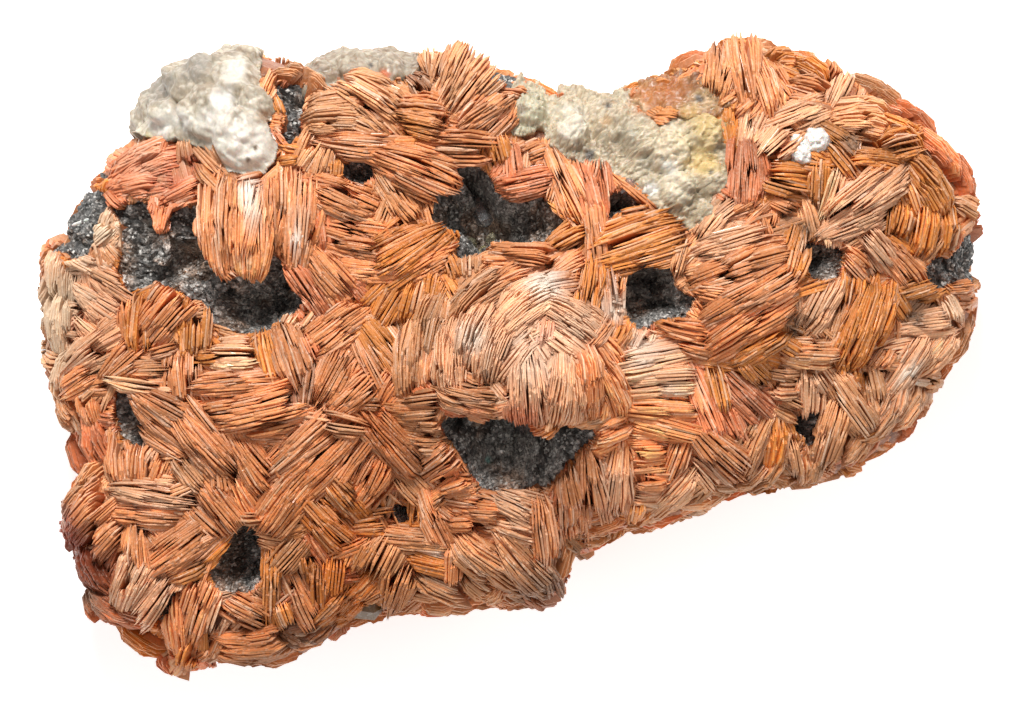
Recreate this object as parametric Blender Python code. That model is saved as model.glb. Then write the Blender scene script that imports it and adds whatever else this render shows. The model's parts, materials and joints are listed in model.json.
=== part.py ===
"""A barite specimen lying on its back: books of salmon barite plates grown over dark galena, with pale crusts.

All work is done in millimetres, in a plane seen from above: +X to the right, +Y up the specimen's face and
+Z out of it. The specimen is one rounded form. Every layer of it, the galena below, the barite crust with
its books, and the pale crusts, is the same form at another depth, cut to its own outline.
"""

import math

import bmesh
import bpy
import numpy as np
from mathutils import Matrix, Vector, geometry, noise

MM = 0.001
CLEARANCE = 0.35

# How far the barite's seat stands off the galena, and a pale crust off its bed.
SEAT_GROWTH = 0.65
BED_GAP = 0.45

# The form: where its spokes meet, how high its widest edge and its face lie, how square its section is.
HUB = (-1.5, 2.4)
RIM_HEIGHT = 15.0
FACE_HEIGHT = 30.0
FACE_SQUARENESS = 3.0
BACK_SQUARENESS = 2.3
REST_SINK = 2.0

# Thickness of the barite over the galena, and the share of it that is taken off sideways at the edge.
CRUST_THICKNESS = 6.0
LEAST_COVER = 1.0
SIDE_SHARE = 0.8

# Height of a galena block over the pit floor as a share of its width, and the scale of rough surfaces.
BLOCK_SHARE = 0.45
FLANK_STEEPNESS = 2.0
NOISE_SCALE = 0.23

# Height of the barite's lower edge, and how far it wanders up and down.
SKIRT_HEIGHT = 6.0
SKIRT_WANDER = 2.2

# How deep the pale crusts reach into the form.
PALE_DEPTH = 2.4

# A book from above, as shares of half its length: where its shoulders are, where its ridge ends, and
# how wide it is at its shoulders as a share of its width. Its foot lies this deep in the crust.
SHOULDER_AT = 0.62
SHOULDER_WIDTH = 0.9
RIDGE_END = 0.74
FOOT_DEPTH = 0.7

# The crust's own grid: spokes all round, rings on its face, rings under its widest edge, and how far
# every other spoke stands out at the sides.
SPOKES = 76
FACE_RINGS = (0.9, 0.965)
SIDE_RINGS = (0.3, 0.6, 0.8)
RIB_HEIGHT = 1.4

# How far out a book may reach, as a share of the outline, and how near corners of the net melt together.
BOOK_LIMIT = 0.975
CLOSE = 0.3

# The edge of the specimen as seen from above, anticlockwise from the right.
OUTLINE = [
    (59.7, 16.4), (58.5, 21.5), (55.9, 26.6), (49.5, 31.7), (43.2, 36.2), (35.5, 39.4), (27.8, 40.4),
    (22.7, 37.5), (17.6, 35.6), (11.2, 32.6), (4.9, 34.3), (-3.4, 37.5), (-7.9, 38.7), (-13.0, 38.7),
    (-22.0, 39.4), (-27.1, 36.8), (-33.4, 39.1), (-41.1, 36.8), (-46.2, 33.0), (-47.5, 28.5),
    (-53.9, 22.8), (-57.7, 17.0), (-60.0, 12.6), (-59.2, -1.5), (-57.7, -5.3), (-54.5, -13.0),
    (-56.6, -18.1), (-57.3, -21.9), (-54.5, -28.3), (-53.2, -32.7), (-46.2, -35.9), (-43.0, -40.4),
    (-37.3, -38.7), (-27.1, -37.9), (-21.3, -34.0), (-16.9, -33.0), (-10.5, -32.1), (-4.1, -31.5),
    (5.3, -30.8), (7.4, -25.1), (13.8, -21.9), (29.1, -16.8), (43.2, -14.2), (49.5, -10.4), (58.5, 3.6),
]

# Broad hills and hollows of the face: x, y, reach, height.
RELIEF = [
    (1.5, -0.5, 13.0, 8.5), (3.5, -4.5, 6.0, 2.5), (-33.5, 17.0, 6.0, 2.5), (-6.0, 33.5, 8.0, 2.0),
    (-17.0, 31.0, 8.0, 2.0), (29.5, 7.5, 9.0, 3.5), (28.5, 35.5, 7.0, 2.0), (-48.0, -27.0, 9.0, 2.0),
    (-1.0, -24.5, 8.0, 2.5), (-33.0, -5.5, 8.0, 2.0), (44.5, 20.5, 8.0, 1.5), (45.0, 4.0, 7.0, 1.5),
    (-37.0, 33.0, 9.0, 3.0), (-16.0, 4.0, 6.0, -2.5), (-13.0, -18.5, 7.0, -3.0), (37.0, -8.0, 6.0, -3.0),
    (37.0, 17.5, 5.0, -2.0), (-19.0, -24.0, 6.0, -2.0), (-3.0, 18.5, 8.0, -2.0), (23.5, -3.0, 6.0, -1.5),
    (-35.0, -25.0, 7.0, -2.0), (-55.0, 5.0, 12.0, -2.5), (54.0, 10.0, 12.0, -3.5), (52.0, -3.0, 11.0, -3.0),
    (-26.0, -33.0, 9.0, -3.0), (12.0, -18.0, 8.0, 1.0),
]

# Places where the barite is thicker, or thinner because the galena comes up: x, y, reach, thickness.
COVER = [
    (0.5, -10.5, 6.0, 8.0), (37.5, -8.5, 4.0, 6.0), (-49.0, -7.5, 4.0, 1.0), (-44.0, 14.5, 5.0, 3.0),
    (-33.0, 8.5, 4.5, 4.0), (-2.5, 18.5, 5.5, 3.0), (18.0, 8.0, 3.5, 3.0), (39.0, 12.0, 2.5, 2.0),
    (-55.5, 18.5, 7.0, -5.0), (58.0, 13.5, 6.5, -5.0), (0.5, 37.5, 6.5, -5.0), (-28.5, 31.5, 4.5, -3.0),
    (-58.0, 4.0, 7.0, -3.0), (-35.0, -25.5, 5.0, 1.0),
]

# Windows in the barite, where the galena shows: the height that each is cut down to, and its corner
# points. Each draws in downwards, to this share of its size.
WINDOW_FOOT = 0.85
WINDOWS = {
    "hollow": (12.0, [
        (-8.4, -7.2), (-5.2, -6.6), (-1.5, -6.6), (2.5, -7.4), (7.0, -7.4), (10.0, -7.9), (10.5, -9.8),
        (9.0, -11.5), (5.2, -15.3), (3.2, -16.2), (-2.5, -16.6), (-4.0, -16.0), (-7.0, -11.5),
    ]),
    "left_pit": (12.0, [
        (-50.3, 18.6), (-45.5, 19.6), (-40.0, 20.4), (-38.0, 21.0), (-37.5, 9.0), (-41.0, 8.2),
        (-45.0, 10.2), (-48.0, 8.4), (-50.0, 10.5), (-49.6, 14.5),
    ]),
    "lower_pit": (12.0, [
        (-38.8, 9.8), (-36.0, 12.5), (-29.5, 13.4), (-27.5, 10.5), (-26.6, 7.2), (-28.6, 5.2),
        (-30.5, 4.6), (-33.8, 3.2), (-37.6, 4.4), (-39.2, 7.0),
    ]),
    "upper_pit": (12.0, [
        (-10.6, 20.4), (-7.6, 22.0), (-5.6, 25.2), (-3.6, 24.4), (-2.6, 21.8), (1.5, 20.0), (5.0, 20.2),
        (6.2, 16.6), (4.2, 13.6), (1.0, 13.8), (-2.0, 15.2), (-5.0, 13.6), (-7.2, 14.4), (-7.0, 16.4),
        (-10.8, 17.6),
    ]),
    "left_edge": (13.0, [
        (-53.0, 24.0), (-50.2, 20.0), (-50.3, 17.6), (-53.6, 14.2), (-57.2, 15.0), (-59.6, 14.6),
        (-63.0, 16.0), (-58.0, 25.0),
    ]),
    "right_edge": (12.0, [
        (64.0, 19.0), (58.6, 18.0), (57.2, 15.0), (55.6, 13.0), (54.0, 13.2), (52.2, 11.0), (54.0, 8.8),
        (57.0, 10.0), (64.0, 9.0),
    ]),
    "top_edge": (16.0, [
        (-4.0, 42.0), (-3.6, 37.4), (-2.4, 35.2), (-1.0, 33.4), (0.2, 33.6), (0.2, 35.0), (3.0, 34.8),
        (6.5, 33.0), (8.0, 36.0), (3.0, 41.0),
    ]),
    "beside_crust": (12.0, [
        (-30.4, 35.0), (-26.8, 35.0), (-25.6, 33.4), (-26.8, 31.2), (-26.8, 28.6), (-28.4, 26.8),
        (-29.4, 28.6), (-28.6, 30.6), (-29.6, 32.4),
    ]),
    "small_upper": (12.0, [(-21.6, 24.8), (-18.0, 25.2), (-17.4, 23.2), (-19.2, 21.8), (-21.6, 23.4)]),
    "middle_right": (12.0, [
        (14.0, 10.9), (17.2, 12.0), (20.2, 12.0), (21.0, 8.8), (23.4, 7.6), (21.8, 5.4), (19.0, 5.2),
        (15.6, 3.6), (14.0, 6.2), (13.6, 8.4),
    ]),
    "right_pit": (12.0, [(36.8, 14.6), (39.4, 14.4), (41.9, 14.0), (41.4, 10.2), (38.0, 9.8), (36.4, 11.8)]),
    "under_crust": (12.0, [(12.0, 20.6), (14.2, 21.4), (16.6, 19.6), (14.4, 18.6), (12.2, 17.8)]),
    "slot": (12.0, [
        (-50.3, -3.8), (-48.4, -3.9), (-47.6, -6.6), (-46.6, -9.4), (-45.4, -11.0), (-47.4, -11.5),
        (-49.6, -10.0), (-50.4, -7.6),
    ]),
    "deep_hole": (8.0, [
        (35.0, -8.2), (38.2, -6.4), (39.6, -5.8), (38.6, -8.6), (38.8, -10.4), (37.8, -11.4), (36.8, -9.8),
    ]),
    "bottom_pit": (10.0, [
        (-37.2, -24.6), (-35.6, -22.0), (-33.6, -20.4), (-32.0, -22.6), (-31.4, -25.0), (-31.8, -28.0),
        (-33.6, -29.8), (-37.0, -29.8), (-38.6, -27.2),
    ]),
    "bottom_left": (10.0, [(-45.6, -32.4), (-43.4, -29.0), (-42.3, -28.2), (-42.4, -30.4), (-44.0, -34.4)]),
    "low_notch": (10.0, [(-15.4, -18.4), (-13.2, -18.3), (-12.6, -20.4), (-14.6, -21.2)]),
}

# Angular galena blocks on the floors of the windows: x, y, size, turn in degrees.
GALENA_BLOCKS = [
    (-5.6, -10.5, 4.6, 20), (-1.8, -13.6, 5.0, 50), (7.2, -10.6, 4.8, 35), (1.6, -11.4, 3.4, 75),
    (-47.0, 15.6, 5.0, 15), (-43.6, 12.4, 5.2, 40), (-46.8, 11.0, 4.2, 70), (-41.4, 17.4, 4.4, 30),
    (-34.6, 6.8, 5.6, 25), (-30.6, 7.8, 4.8, 60), (-36.4, 8.0, 3.8, 10), (-8.8, 18.8, 4.4, 35),
    (-4.6, 19.2, 4.2, 65), (2.6, 17.2, 5.8, 20), (-0.6, 15.6, 3.6, 50), (-55.4, 18.4, 5.2, 40),
    (-52.4, 17.6, 3.8, 15), (57.6, 14.6, 4.6, 25), (55.0, 11.4, 3.8, 55), (0.0, 36.2, 4.4, 35),
    (3.2, 35.4, 3.4, 10), (-27.8, 31.6, 3.6, 30), (17.6, 8.4, 5.6, 15), (20.2, 7.4, 3.8, 50),
    (38.6, 12.4, 4.4, 30), (-19.6, 23.6, 3.2, 45), (-49.0, -7.6, 2.6, 20), (-35.2, -26.2, 4.4, 40),
    (-34.2, -23.4, 3.4, 10), (-43.8, -31.4, 2.8, 35),
]

# The edges of a book between its corners: round its foot, then along its ridge from tip to tip.
BOOK_EDGES = [(0, 1), (1, 2), (2, 3), (3, 4), (4, 5), (5, 0), (0, 6), (6, 7), (7, 3)]

# Books of plates: x, y, heading in degrees, length, width, rise over the crust, and bend in degrees.
BOOKS = [
    (-46.5, 24.3, 14, 13.0, 5.0, 2.2, -10), (-48.3, 21.5, 2, 8.5, 2.8, 1.8, 0),
    (-38.6, 24.4, -46, 7.5, 2.6, 2.6, 0), (-44.4, 18.2, -92, 5.2, 2.4, 2.0, 0),
    (-53.5, 12.6, -28, 8.0, 3.6, 1.8, 0), (-52.3, 7.0, -36, 8.0, 3.2, 2.0, 0),
    (-52.8, 1.3, 33, 9.5, 4.4, 2.4, 0), (-49.6, -0.4, 45, 7.0, 3.6, 2.2, 0),
    (-36.4, 16.4, -86, 13.0, 4.8, 4.0, 8), (-32.6, 16.2, -92, 13.2, 5.0, 4.4, 0),
    (-27.3, 17.3, 86, 14.0, 5.4, 3.2, -10), (-25.2, 25.6, 65, 5.8, 3.4, 2.2, 0),
    (-23.2, 30.6, 6, 8.0, 5.2, 3.0, 0), (-17.8, 32.2, -32, 9.5, 5.8, 3.4, -22),
    (-12.0, 30.8, -8, 7.0, 4.8, 3.2, -10), (-6.6, 34.0, 60, 11.5, 6.4, 3.8, 0),
    (-3.2, 30.6, 44, 9.0, 4.4, 3.0, 0), (-17.8, 27.1, -3, 10.0, 3.0, 2.8, 0),
    (-8.4, 27.2, -5, 10.5, 3.2, 3.0, 0), (-12.8, 24.2, -20, 13.0, 5.4, 3.6, 0),
    (-15.4, 21.0, -57, 8.5, 3.0, 2.6, 0), (-21.0, 20.0, -22, 9.5, 4.8, 3.0, 0),
    (-20.0, 15.4, -13, 10.0, 4.6, 2.6, 0), (-17.8, 11.6, -4, 9.5, 2.8, 2.4, 0),
    (-12.4, 14.0, 30, 11.5, 5.2, 3.6, 0), (-6.2, 11.5, -84, 4.6, 3.6, 2.2, 0),
    (-23.6, 11.2, -50, 8.5, 4.0, 2.8, 0), (-25.6, 8.4, -55, 8.5, 2.8, 2.6, 0),
    (-28.4, 1.2, -72, 8.0, 3.8, 2.8, 0), (-22.6, 3.6, 36, 9.0, 4.6, 3.0, 0),
    (-13.8, 7.2, 66, 7.5, 5.0, 2.7, 0), (-16.5, 1.6, -55, 8.5, 4.6, 2.6, 0),
    (-18.2, -1.4, -65, 9.5, 2.6, 2.4, 0), (-22.0, -1.4, 62, 8.5, 4.2, 3.0, 0),
    (-20.9, -5.2, 40, 8.0, 3.4, 3.2, 0), (-27.2, -11.2, 42, 13.0, 4.2, 2.8, 0),
    (-23.4, -12.8, 45, 13.0, 4.6, 3.0, 0), (-19.6, -12.2, 56, 9.5, 3.8, 2.8, 0),
    (-12.4, -0.6, 88, 9.5, 3.6, 2.8, -12), (-9.6, 3.0, 80, 9.0, 3.4, 2.6, -18),
    (-6.6, 0.8, 88, 10.5, 3.4, 3.2, -8), (-3.2, 2.0, 76, 10.5, 4.0, 3.4, -20),
    (-3.4, 7.4, 42, 9.0, 3.8, 2.6, -20), (1.2, 4.8, 45, 9.5, 4.4, 3.0, -30),
    (3.4, 8.0, 18, 8.0, 3.6, 2.2, -25), (7.6, 4.4, -28, 9.5, 4.4, 3.0, -20),
    (2.2, -3.8, -88, 9.0, 4.4, 3.6, 0), (5.9, -3.6, -94, 9.4, 4.4, 3.6, 0),
    (9.4, -3.4, -74, 9.8, 4.4, 3.1, 8), (-4.6, -4.4, -8, 8.6, 3.8, 2.8, 0),
    (-12.2, -6.4, 2, 8.5, 3.8, 2.6, 0), (-11.8, -9.8, -8, 8.0, 3.6, 2.4, 0),
    (-14.9, -10.6, -50, 11.0, 4.4, 3.0, 0), (-9.0, -13.2, 38, 6.5, 4.4, 2.6, 0),
    (12.2, -9.0, 20, 6.5, 3.2, 2.6, 0), (8.4, -15.4, -76, 9.0, 4.6, 3.0, 0),
    (12.4, -15.0, -90, 10.5, 4.4, 3.1, 0), (0.8, -18.2, -22, 9.5, 3.6, 3.0, 0),
    (-4.4, -19.4, -3, 9.0, 4.4, 2.4, 0), (-2.4, -25.4, -40, 11.0, 4.4, 3.0, 0),
    (1.6, -25.6, -54, 11.0, 4.4, 3.0, 0), (6.4, -20.6, -80, 8.5, 2.8, 2.4, 0),
    (-9.2, -29.4, -10, 6.0, 3.4, 2.2, 0), (-11.2, -24.2, -6, 9.0, 4.2, 2.4, 0),
    (-16.6, -26.2, 64, 7.5, 5.0, 3.0, 0), (-14.0, -28.6, 74, 7.0, 3.8, 2.8, 0),
    (-9.6, -19.8, -66, 8.0, 2.4, 2.8, 0), (-18.4, -15.8, 60, 8.5, 3.8, 2.8, 0),
    (-17.8, -20.8, 4, 6.5, 2.6, 2.2, 0), (-24.0, -20.2, -46, 9.5, 3.2, 3.0, 0),
    (-21.0, -17.6, -52, 8.0, 2.8, 3.0, 0), (-28.4, -17.4, 52, 11.0, 4.6, 3.0, 0),
    (-28.2, -24.4, 50, 7.5, 3.8, 2.4, 0), (-23.4, -28.0, 86, 6.5, 4.4, 2.7, 0),
    (-28.4, -29.6, -72, 9.0, 4.2, 2.4, 0), (-33.4, -35.6, -5, 10.5, 4.8, 3.0, 0),
    (-33.8, -32.0, -30, 7.5, 3.4, 2.6, 0), (-39.8, -31.8, 72, 9.5, 3.8, 3.0, 0),
    (-42.4, -34.4, 80, 9.0, 3.0, 2.6, 0), (-46.6, -35.0, -45, 8.0, 2.8, 2.2, 0),
    (-44.6, -29.8, 56, 9.0, 3.8, 3.0, 0), (-48.2, -28.4, 62, 8.0, 4.2, 2.8, 0),
    (-50.2, -31.6, -12, 8.0, 3.0, 1.8, 0), (-53.6, -24.4, -62, 8.0, 4.0, 2.0, 0),
    (-53.6, -20.0, 38, 9.5, 4.4, 3.0, 0), (-46.0, -17.3, -8, 11.5, 2.6, 3.2, 0),
    (-46.0, -19.8, -4, 9.0, 2.8, 2.8, 0), (-47.4, -23.6, -90, 7.0, 3.4, 2.8, 0),
    (-42.0, -23.8, 36, 10.0, 4.8, 3.0, 0), (-37.2, -19.0, -50, 9.5, 4.2, 2.9, 0),
    (-33.2, -17.2, -60, 6.5, 3.4, 2.6, 0), (-52.8, -9.4, -70, 9.0, 3.8, 2.2, 0),
    (-48.2, -13.2, -84, 6.5, 4.0, 2.5, 0), (-43.2, -8.0, -33, 11.0, 4.8, 3.5, 0),
    (-45.4, -2.4, -2, 6.0, 3.8, 2.5, 0), (-41.0, -2.4, 90, 6.5, 3.8, 2.6, 0),
    (-39.8, 3.4, 88, 7.5, 3.2, 2.8, 0), (-44.2, 5.0, 46, 9.5, 5.2, 2.9, 0),
    (-47.8, 4.6, 92, 7.5, 3.2, 2.6, 0), (-35.0, 0.4, -2, 7.5, 4.2, 2.6, 0),
    (-33.0, -5.4, 9, 14.0, 5.4, 3.6, 6), (-37.8, -11.4, -48, 13.0, 4.4, 3.2, 0),
    (-33.0, -12.4, -56, 9.0, 3.4, 2.8, 0), (-1.4, 26.0, -76, 6.5, 3.6, 2.5, 0),
    (1.0, 22.2, 14, 8.0, 3.4, 3.1, 0), (7.6, 22.2, -69, 10.5, 4.4, 2.9, 0),
    (10.6, 16.4, -82, 12.0, 3.2, 2.7, 0), (1.6, 12.9, -6, 10.0, 2.6, 2.7, 0),
    (7.0, 11.2, 28, 6.5, 3.8, 2.4, 0), (9.6, 8.0, 80, 8.5, 3.2, 2.6, 0),
    (12.6, 8.0, 92, 7.5, 2.8, 2.7, 0), (12.0, 3.0, 58, 6.0, 4.0, 2.2, 0),
    (16.4, 14.8, 20, 12.0, 6.4, 3.8, 0), (22.0, 3.0, -12, 7.5, 4.0, 2.5, 0),
    (17.6, -1.4, 6, 11.5, 4.6, 3.0, 0), (18.4, -5.6, 0, 10.5, 3.6, 2.8, 0),
    (19.2, -8.6, -12, 10.0, 2.6, 2.6, 0), (17.2, -13.2, 0, 5.6, 5.6, 2.4, 0),
    (24.4, -5.2, -69, 10.5, 3.6, 2.9, 0), (25.6, -12.0, -44, 10.0, 4.4, 2.9, 0),
    (20.2, -15.6, 58, 9.0, 3.4, 2.6, 0), (29.4, 23.8, 91, 9.0, 3.8, 2.8, 0),
    (26.6, 36.0, 84, 9.0, 3.6, 2.8, 0), (30.2, 35.4, 98, 10.0, 4.4, 3.0, 0),
    (36.8, 33.2, -9, 6.5, 3.6, 2.4, 0), (37.6, 36.8, -30, 5.5, 3.4, 2.0, 0),
    (35.2, 30.0, 22, 9.0, 3.8, 2.6, 0), (33.4, 26.4, 42, 7.5, 4.0, 2.8, 0),
    (43.4, 30.2, 5, 8.0, 4.4, 3.0, 0), (46.0, 33.4, -26, 8.5, 2.8, 2.0, 0),
    (49.8, 29.8, -31, 8.0, 3.6, 2.3, 0), (47.2, 26.2, 22, 7.0, 3.2, 3.1, 0),
    (41.8, 25.2, -52, 6.0, 2.8, 2.6, 0), (34.7, 22.0, -8, 7.2, 4.6, 2.8, 0),
    (39.8, 21.6, 80, 7.0, 3.2, 2.7, 0), (44.6, 19.8, 33, 11.5, 5.2, 3.5, 0),
    (52.4, 23.2, -54, 9.5, 4.4, 2.6, 0), (56.2, 24.0, -68, 7.5, 2.8, 1.8, 0),
    (50.4, 17.0, 80, 6.5, 4.4, 2.6, 0), (54.8, 16.4, 88, 6.0, 2.6, 2.3, 0),
    (46.6, 13.4, -50, 8.5, 3.6, 2.8, 0), (49.8, 11.0, -46, 7.5, 3.4, 2.7, 0),
    (51.8, 5.2, 4, 8.5, 4.4, 1.9, 0), (52.2, -0.4, 48, 10.0, 4.4, 2.0, 0),
    (47.8, -6.0, 56, 9.0, 3.6, 2.2, 0), (43.2, -6.0, -58, 9.5, 3.6, 3.0, 0),
    (40.6, -10.0, 70, 9.5, 3.8, 2.7, 0), (37.5, -3.6, -86, 7.0, 2.6, 2.7, 0),
    (37.6, 1.2, -6, 8.0, 3.8, 2.5, 0), (44.2, 4.6, 66, 11.5, 4.4, 3.1, 0),
    (38.8, 7.2, 54, 8.5, 4.0, 2.7, 0), (27.8, 13.6, 15, 12.5, 3.8, 3.0, 0),
    (29.0, 9.8, 23, 13.5, 4.4, 3.7, 0), (29.6, 5.4, 31, 12.5, 5.0, 3.8, 0),
    (35.6, 13.2, 68, 8.0, 3.0, 3.0, 0), (31.0, -0.6, -46, 6.5, 3.8, 2.4, 0),
    (34.4, -4.8, -20, 6.5, 3.6, 2.4, 0), (29.0, -5.4, -48, 9.5, 4.4, 2.7, 0),
    (30.8, -11.4, 69, 10.5, 4.0, 2.5, 0), (34.6, -11.2, -88, 9.0, 4.0, 2.5, 0),
]

# Pale crusts: how far each stands over the form, and its corner points.
PALE_CRUSTS = {
    "white_crust_left": (1.2, [
        (-48.5, 28.6), (-45.2, 27.8), (-42.0, 27.6), (-39.8, 27.4), (-37.6, 26.4), (-35.6, 23.6),
        (-33.6, 22.9), (-31.4, 23.2), (-29.6, 24.6), (-29.2, 26.6), (-30.2, 28.8), (-29.4, 31.0),
        (-30.0, 33.0), (-31.2, 35.2), (-31.6, 40.5), (-36.0, 42.0), (-43.5, 39.0), (-49.0, 34.0),
    ]),
    "pale_crust_top": (0.5, [
        (-27.8, 36.4), (-24.6, 33.6), (-22.4, 33.8), (-20.0, 34.6), (-16.4, 35.0), (-13.6, 35.2),
        (-11.6, 36.0), (-12.2, 41.5), (-22.0, 42.5), (-28.4, 38.5),
    ]),
    "pale_crust_middle": (1.0, [
        (0.4, 34.9), (3.0, 34.4), (5.8, 33.0), (6.6, 36.5), (12.0, 36.0), (15.0, 36.0), (15.6, 31.8),
        (17.4, 30.6), (20.0, 30.2), (23.0, 31.2), (25.4, 31.2), (27.6, 29.8), (28.2, 27.4),
        (27.6, 25.0), (27.0, 21.0), (26.2, 18.6), (24.8, 16.2), (22.6, 14.9), (21.4, 16.8),
        (18.4, 18.8), (16.8, 20.4), (14.6, 21.4), (12.6, 23.2), (10.2, 24.6), (6.6, 24.8),
        (4.4, 26.6), (4.2, 28.6), (0.4, 27.8), (-0.4, 30.6),
    ]),
}

# Round lumps on the pale crusts, and the white nodule's lobes: x, y, radius, rise over the form.
CRUST_LUMPS = {
    "white_crust_left": [
        (-33.2, 27.4, 3.9, 2.6), (-37.4, 30.6, 3.4, 2.4), (-43.4, 31.0, 1.8, 2.0), (-39.4, 30.4, 1.7, 2.4),
        (-34.6, 35.4, 3.0, 2.4), (-40.6, 34.6, 2.8, 2.0), (-31.8, 31.8, 2.2, 1.9), (-37.8, 35.4, 2.2, 2.6),
    ],
    "pale_crust_top": [(-20.0, 36.9, 2.0, 1.2), (-15.2, 36.8, 1.7, 1.1), (-24.0, 36.2, 1.6, 1.0)],
    "pale_crust_middle": [
        (2.2, 31.2, 2.2, 1.7), (7.4, 27.8, 2.2, 1.8), (11.8, 29.8, 2.8, 2.1), (15.8, 27.6, 2.6, 1.9),
        (19.6, 25.6, 2.6, 1.8), (23.8, 28.2, 2.4, 1.6), (20.6, 21.2, 2.3, 1.7), (25.0, 22.4, 2.2, 1.6),
        (24.2, 18.0, 1.6, 1.4), (7.2, 31.4, 1.8, 1.5),
    ],
}
NODULE_LOBES = [(38.5, 27.6, 1.7, 3.2), (36.7, 25.9, 1.5, 2.9), (36.2, 27.6, 1.1, 2.5)]
LOBE_SINK = 1.1

# Each layer is worked out on a fine ball, then lightened to about this many triangles.
FINE_BALL = 7
GALENA_TRIANGLES = 880
BED_TRIANGLES = 300
PALE_TRIANGLES = {"white_crust_left": 4200, "pale_crust_top": 3000, "pale_crust_middle": 4200}
TALL = 70.0


def outline_radius(angle):
    """Distance from the hub to the outline in each direction, even between the outline's points."""
    spokes = np.array(OUTLINE) - HUB
    bearings = np.arctan2(spokes[:, 1], spokes[:, 0])
    order = np.argsort(bearings)
    return np.interp(angle, bearings[order], np.hypot(*spokes.T)[order], period=2 * math.pi)


def hills(x, y, places):
    """Sum of round hills: each is its height times exp(-(distance / reach)^2)."""
    total = np.zeros_like(x)
    for hill_x, hill_y, reach, height in places:
        total += height * np.exp(-((x - hill_x) ** 2 + (y - hill_y) ** 2) / reach**2)
    return total


def face_height(x, y):
    """Height of the face before it falls away to the edge."""
    return FACE_HEIGHT + hills(x, y, RELIEF)


def lump_heights(x, y, lumps):
    """Height of round lumps: each is the top of a ball, its rise times sqrt(1 - (distance / radius)^2)."""
    total = np.zeros_like(x)
    for lump_x, lump_y, radius, rise in lumps:
        near = ((x - lump_x) ** 2 + (y - lump_y) ** 2) / radius**2
        total = np.maximum(total, rise * np.sqrt(np.clip(1 - near, 0, 1)))
    return total


def outline_share(x, y):
    """How far out from the hub each place lies, 1 on the outline."""
    angle = np.arctan2(y - HUB[1], x - HUB[0])
    return np.hypot(x - HUB[0], y - HUB[1]) / outline_radius(angle)


def surface_height(x, y):
    """Height of the form's upper side at each place inside the outline."""
    x = np.asarray(x, float)
    y = np.asarray(y, float)
    share = outline_share(x, y)
    fall = (1 - np.clip(share, 0, 1) ** FACE_SQUARENESS) ** (1 / FACE_SQUARENESS)
    return RIM_HEIGHT + (face_height(x, y) - RIM_HEIGHT) * fall


def block_heights(x, y):
    """Height of the angular galena blocks: each is flat on top, leans a little and has steep flanks."""
    total = np.zeros_like(x)
    for number, (block_x, block_y, size, turn) in enumerate(GALENA_BLOCKS):
        angle = math.radians(turn)
        along = ((x - block_x) * math.cos(angle) + (y - block_y) * math.sin(angle)) / (size / 2)
        across = ((y - block_y) * math.cos(angle) - (x - block_x) * math.sin(angle)) / (size / 2)
        lean = 0.3 * math.sin(number * 2.4) * along + 0.3 * math.cos(number * 1.7) * across
        flank = np.clip((1 - np.maximum(np.abs(along), np.abs(across))) * FLANK_STEEPNESS, 0, 1)
        total = np.maximum(total, BLOCK_SHARE * size * (1 + lean) * flank)
    return total


def galena_depth(x, y):
    """Depth of the galena under the barite's surface."""
    cover = CRUST_THICKNESS + hills(x, y, COVER)
    return np.maximum(cover - block_heights(x, y), LEAST_COVER)


def on_book(x, y, row):
    """Where points lie on a book, as shares of half its length and of half its width there."""
    book_x, book_y, heading, length, width, _, bend = row
    angle = math.radians(heading)
    along = ((x - book_x) * math.cos(angle) + (y - book_y) * math.sin(angle)) / (length / 2)
    across = (y - book_y) * math.cos(angle) - (x - book_x) * math.sin(angle)
    across = across - book_arc(along, length, bend)
    half = width / 2 * np.interp(np.abs(along), [0, SHOULDER_AT, 1], [1, SHOULDER_WIDTH, 0.01])
    return np.abs(along), np.abs(across) / half


def book_arc(along, length, bend):
    """Sideways offset of a bent book's middle line, an arc with its ends on the straight line."""
    return math.radians(bend) * length / 8 * (along**2 - 1)


def book_height(x, y, row):
    """Height of a book over the crust: a hipped roof, falling evenly from its ridge to its foot."""
    along, side = on_book(x, y, row)
    roof = np.minimum(1 - side, (1 - along) / (1 - RIDGE_END))
    rise = row[5] + FOOT_DEPTH
    return np.where(roof > 0, rise * np.minimum(roof, 1) - FOOT_DEPTH, -FOOT_DEPTH)


def book_corners(row):
    """A book's corners from above: six round its foot, then the two ends of its ridge."""
    book_x, book_y, heading, length, width, _, bend = row
    angle = math.radians(heading)
    along = np.array([1, SHOULDER_AT, -SHOULDER_AT, -1, -SHOULDER_AT, SHOULDER_AT, RIDGE_END, -RIDGE_END])
    side = np.array([0, 1, 1, 0, -1, -1, 0, 0])
    across = side * width / 2 * SHOULDER_WIDTH + book_arc(along, length, bend)
    forward = along * length / 2
    x = book_x + forward * math.cos(angle) - across * math.sin(angle)
    y = book_y + forward * math.sin(angle) + across * math.cos(angle)
    return np.stack([x, y], axis=1)


def pulled_in(marks):
    """The same points, with those near or over the edge drawn in towards the hub."""
    share = outline_share(marks[:, 0], marks[:, 1])
    return HUB + (marks - HUB) * np.minimum(1, BOOK_LIMIT / share)[:, None]


def ring(share, grow=0.0):
    """Points round the hub at a share of the outline, every other one pushed out a little."""
    angle = np.arange(SPOKES) * 2 * math.pi / SPOKES - math.pi
    radius = outline_radius(angle) * share + grow * (np.arange(SPOKES) % 2)
    return np.stack([HUB[0] + radius * np.cos(angle), HUB[1] + radius * np.sin(angle)], axis=1)


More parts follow.
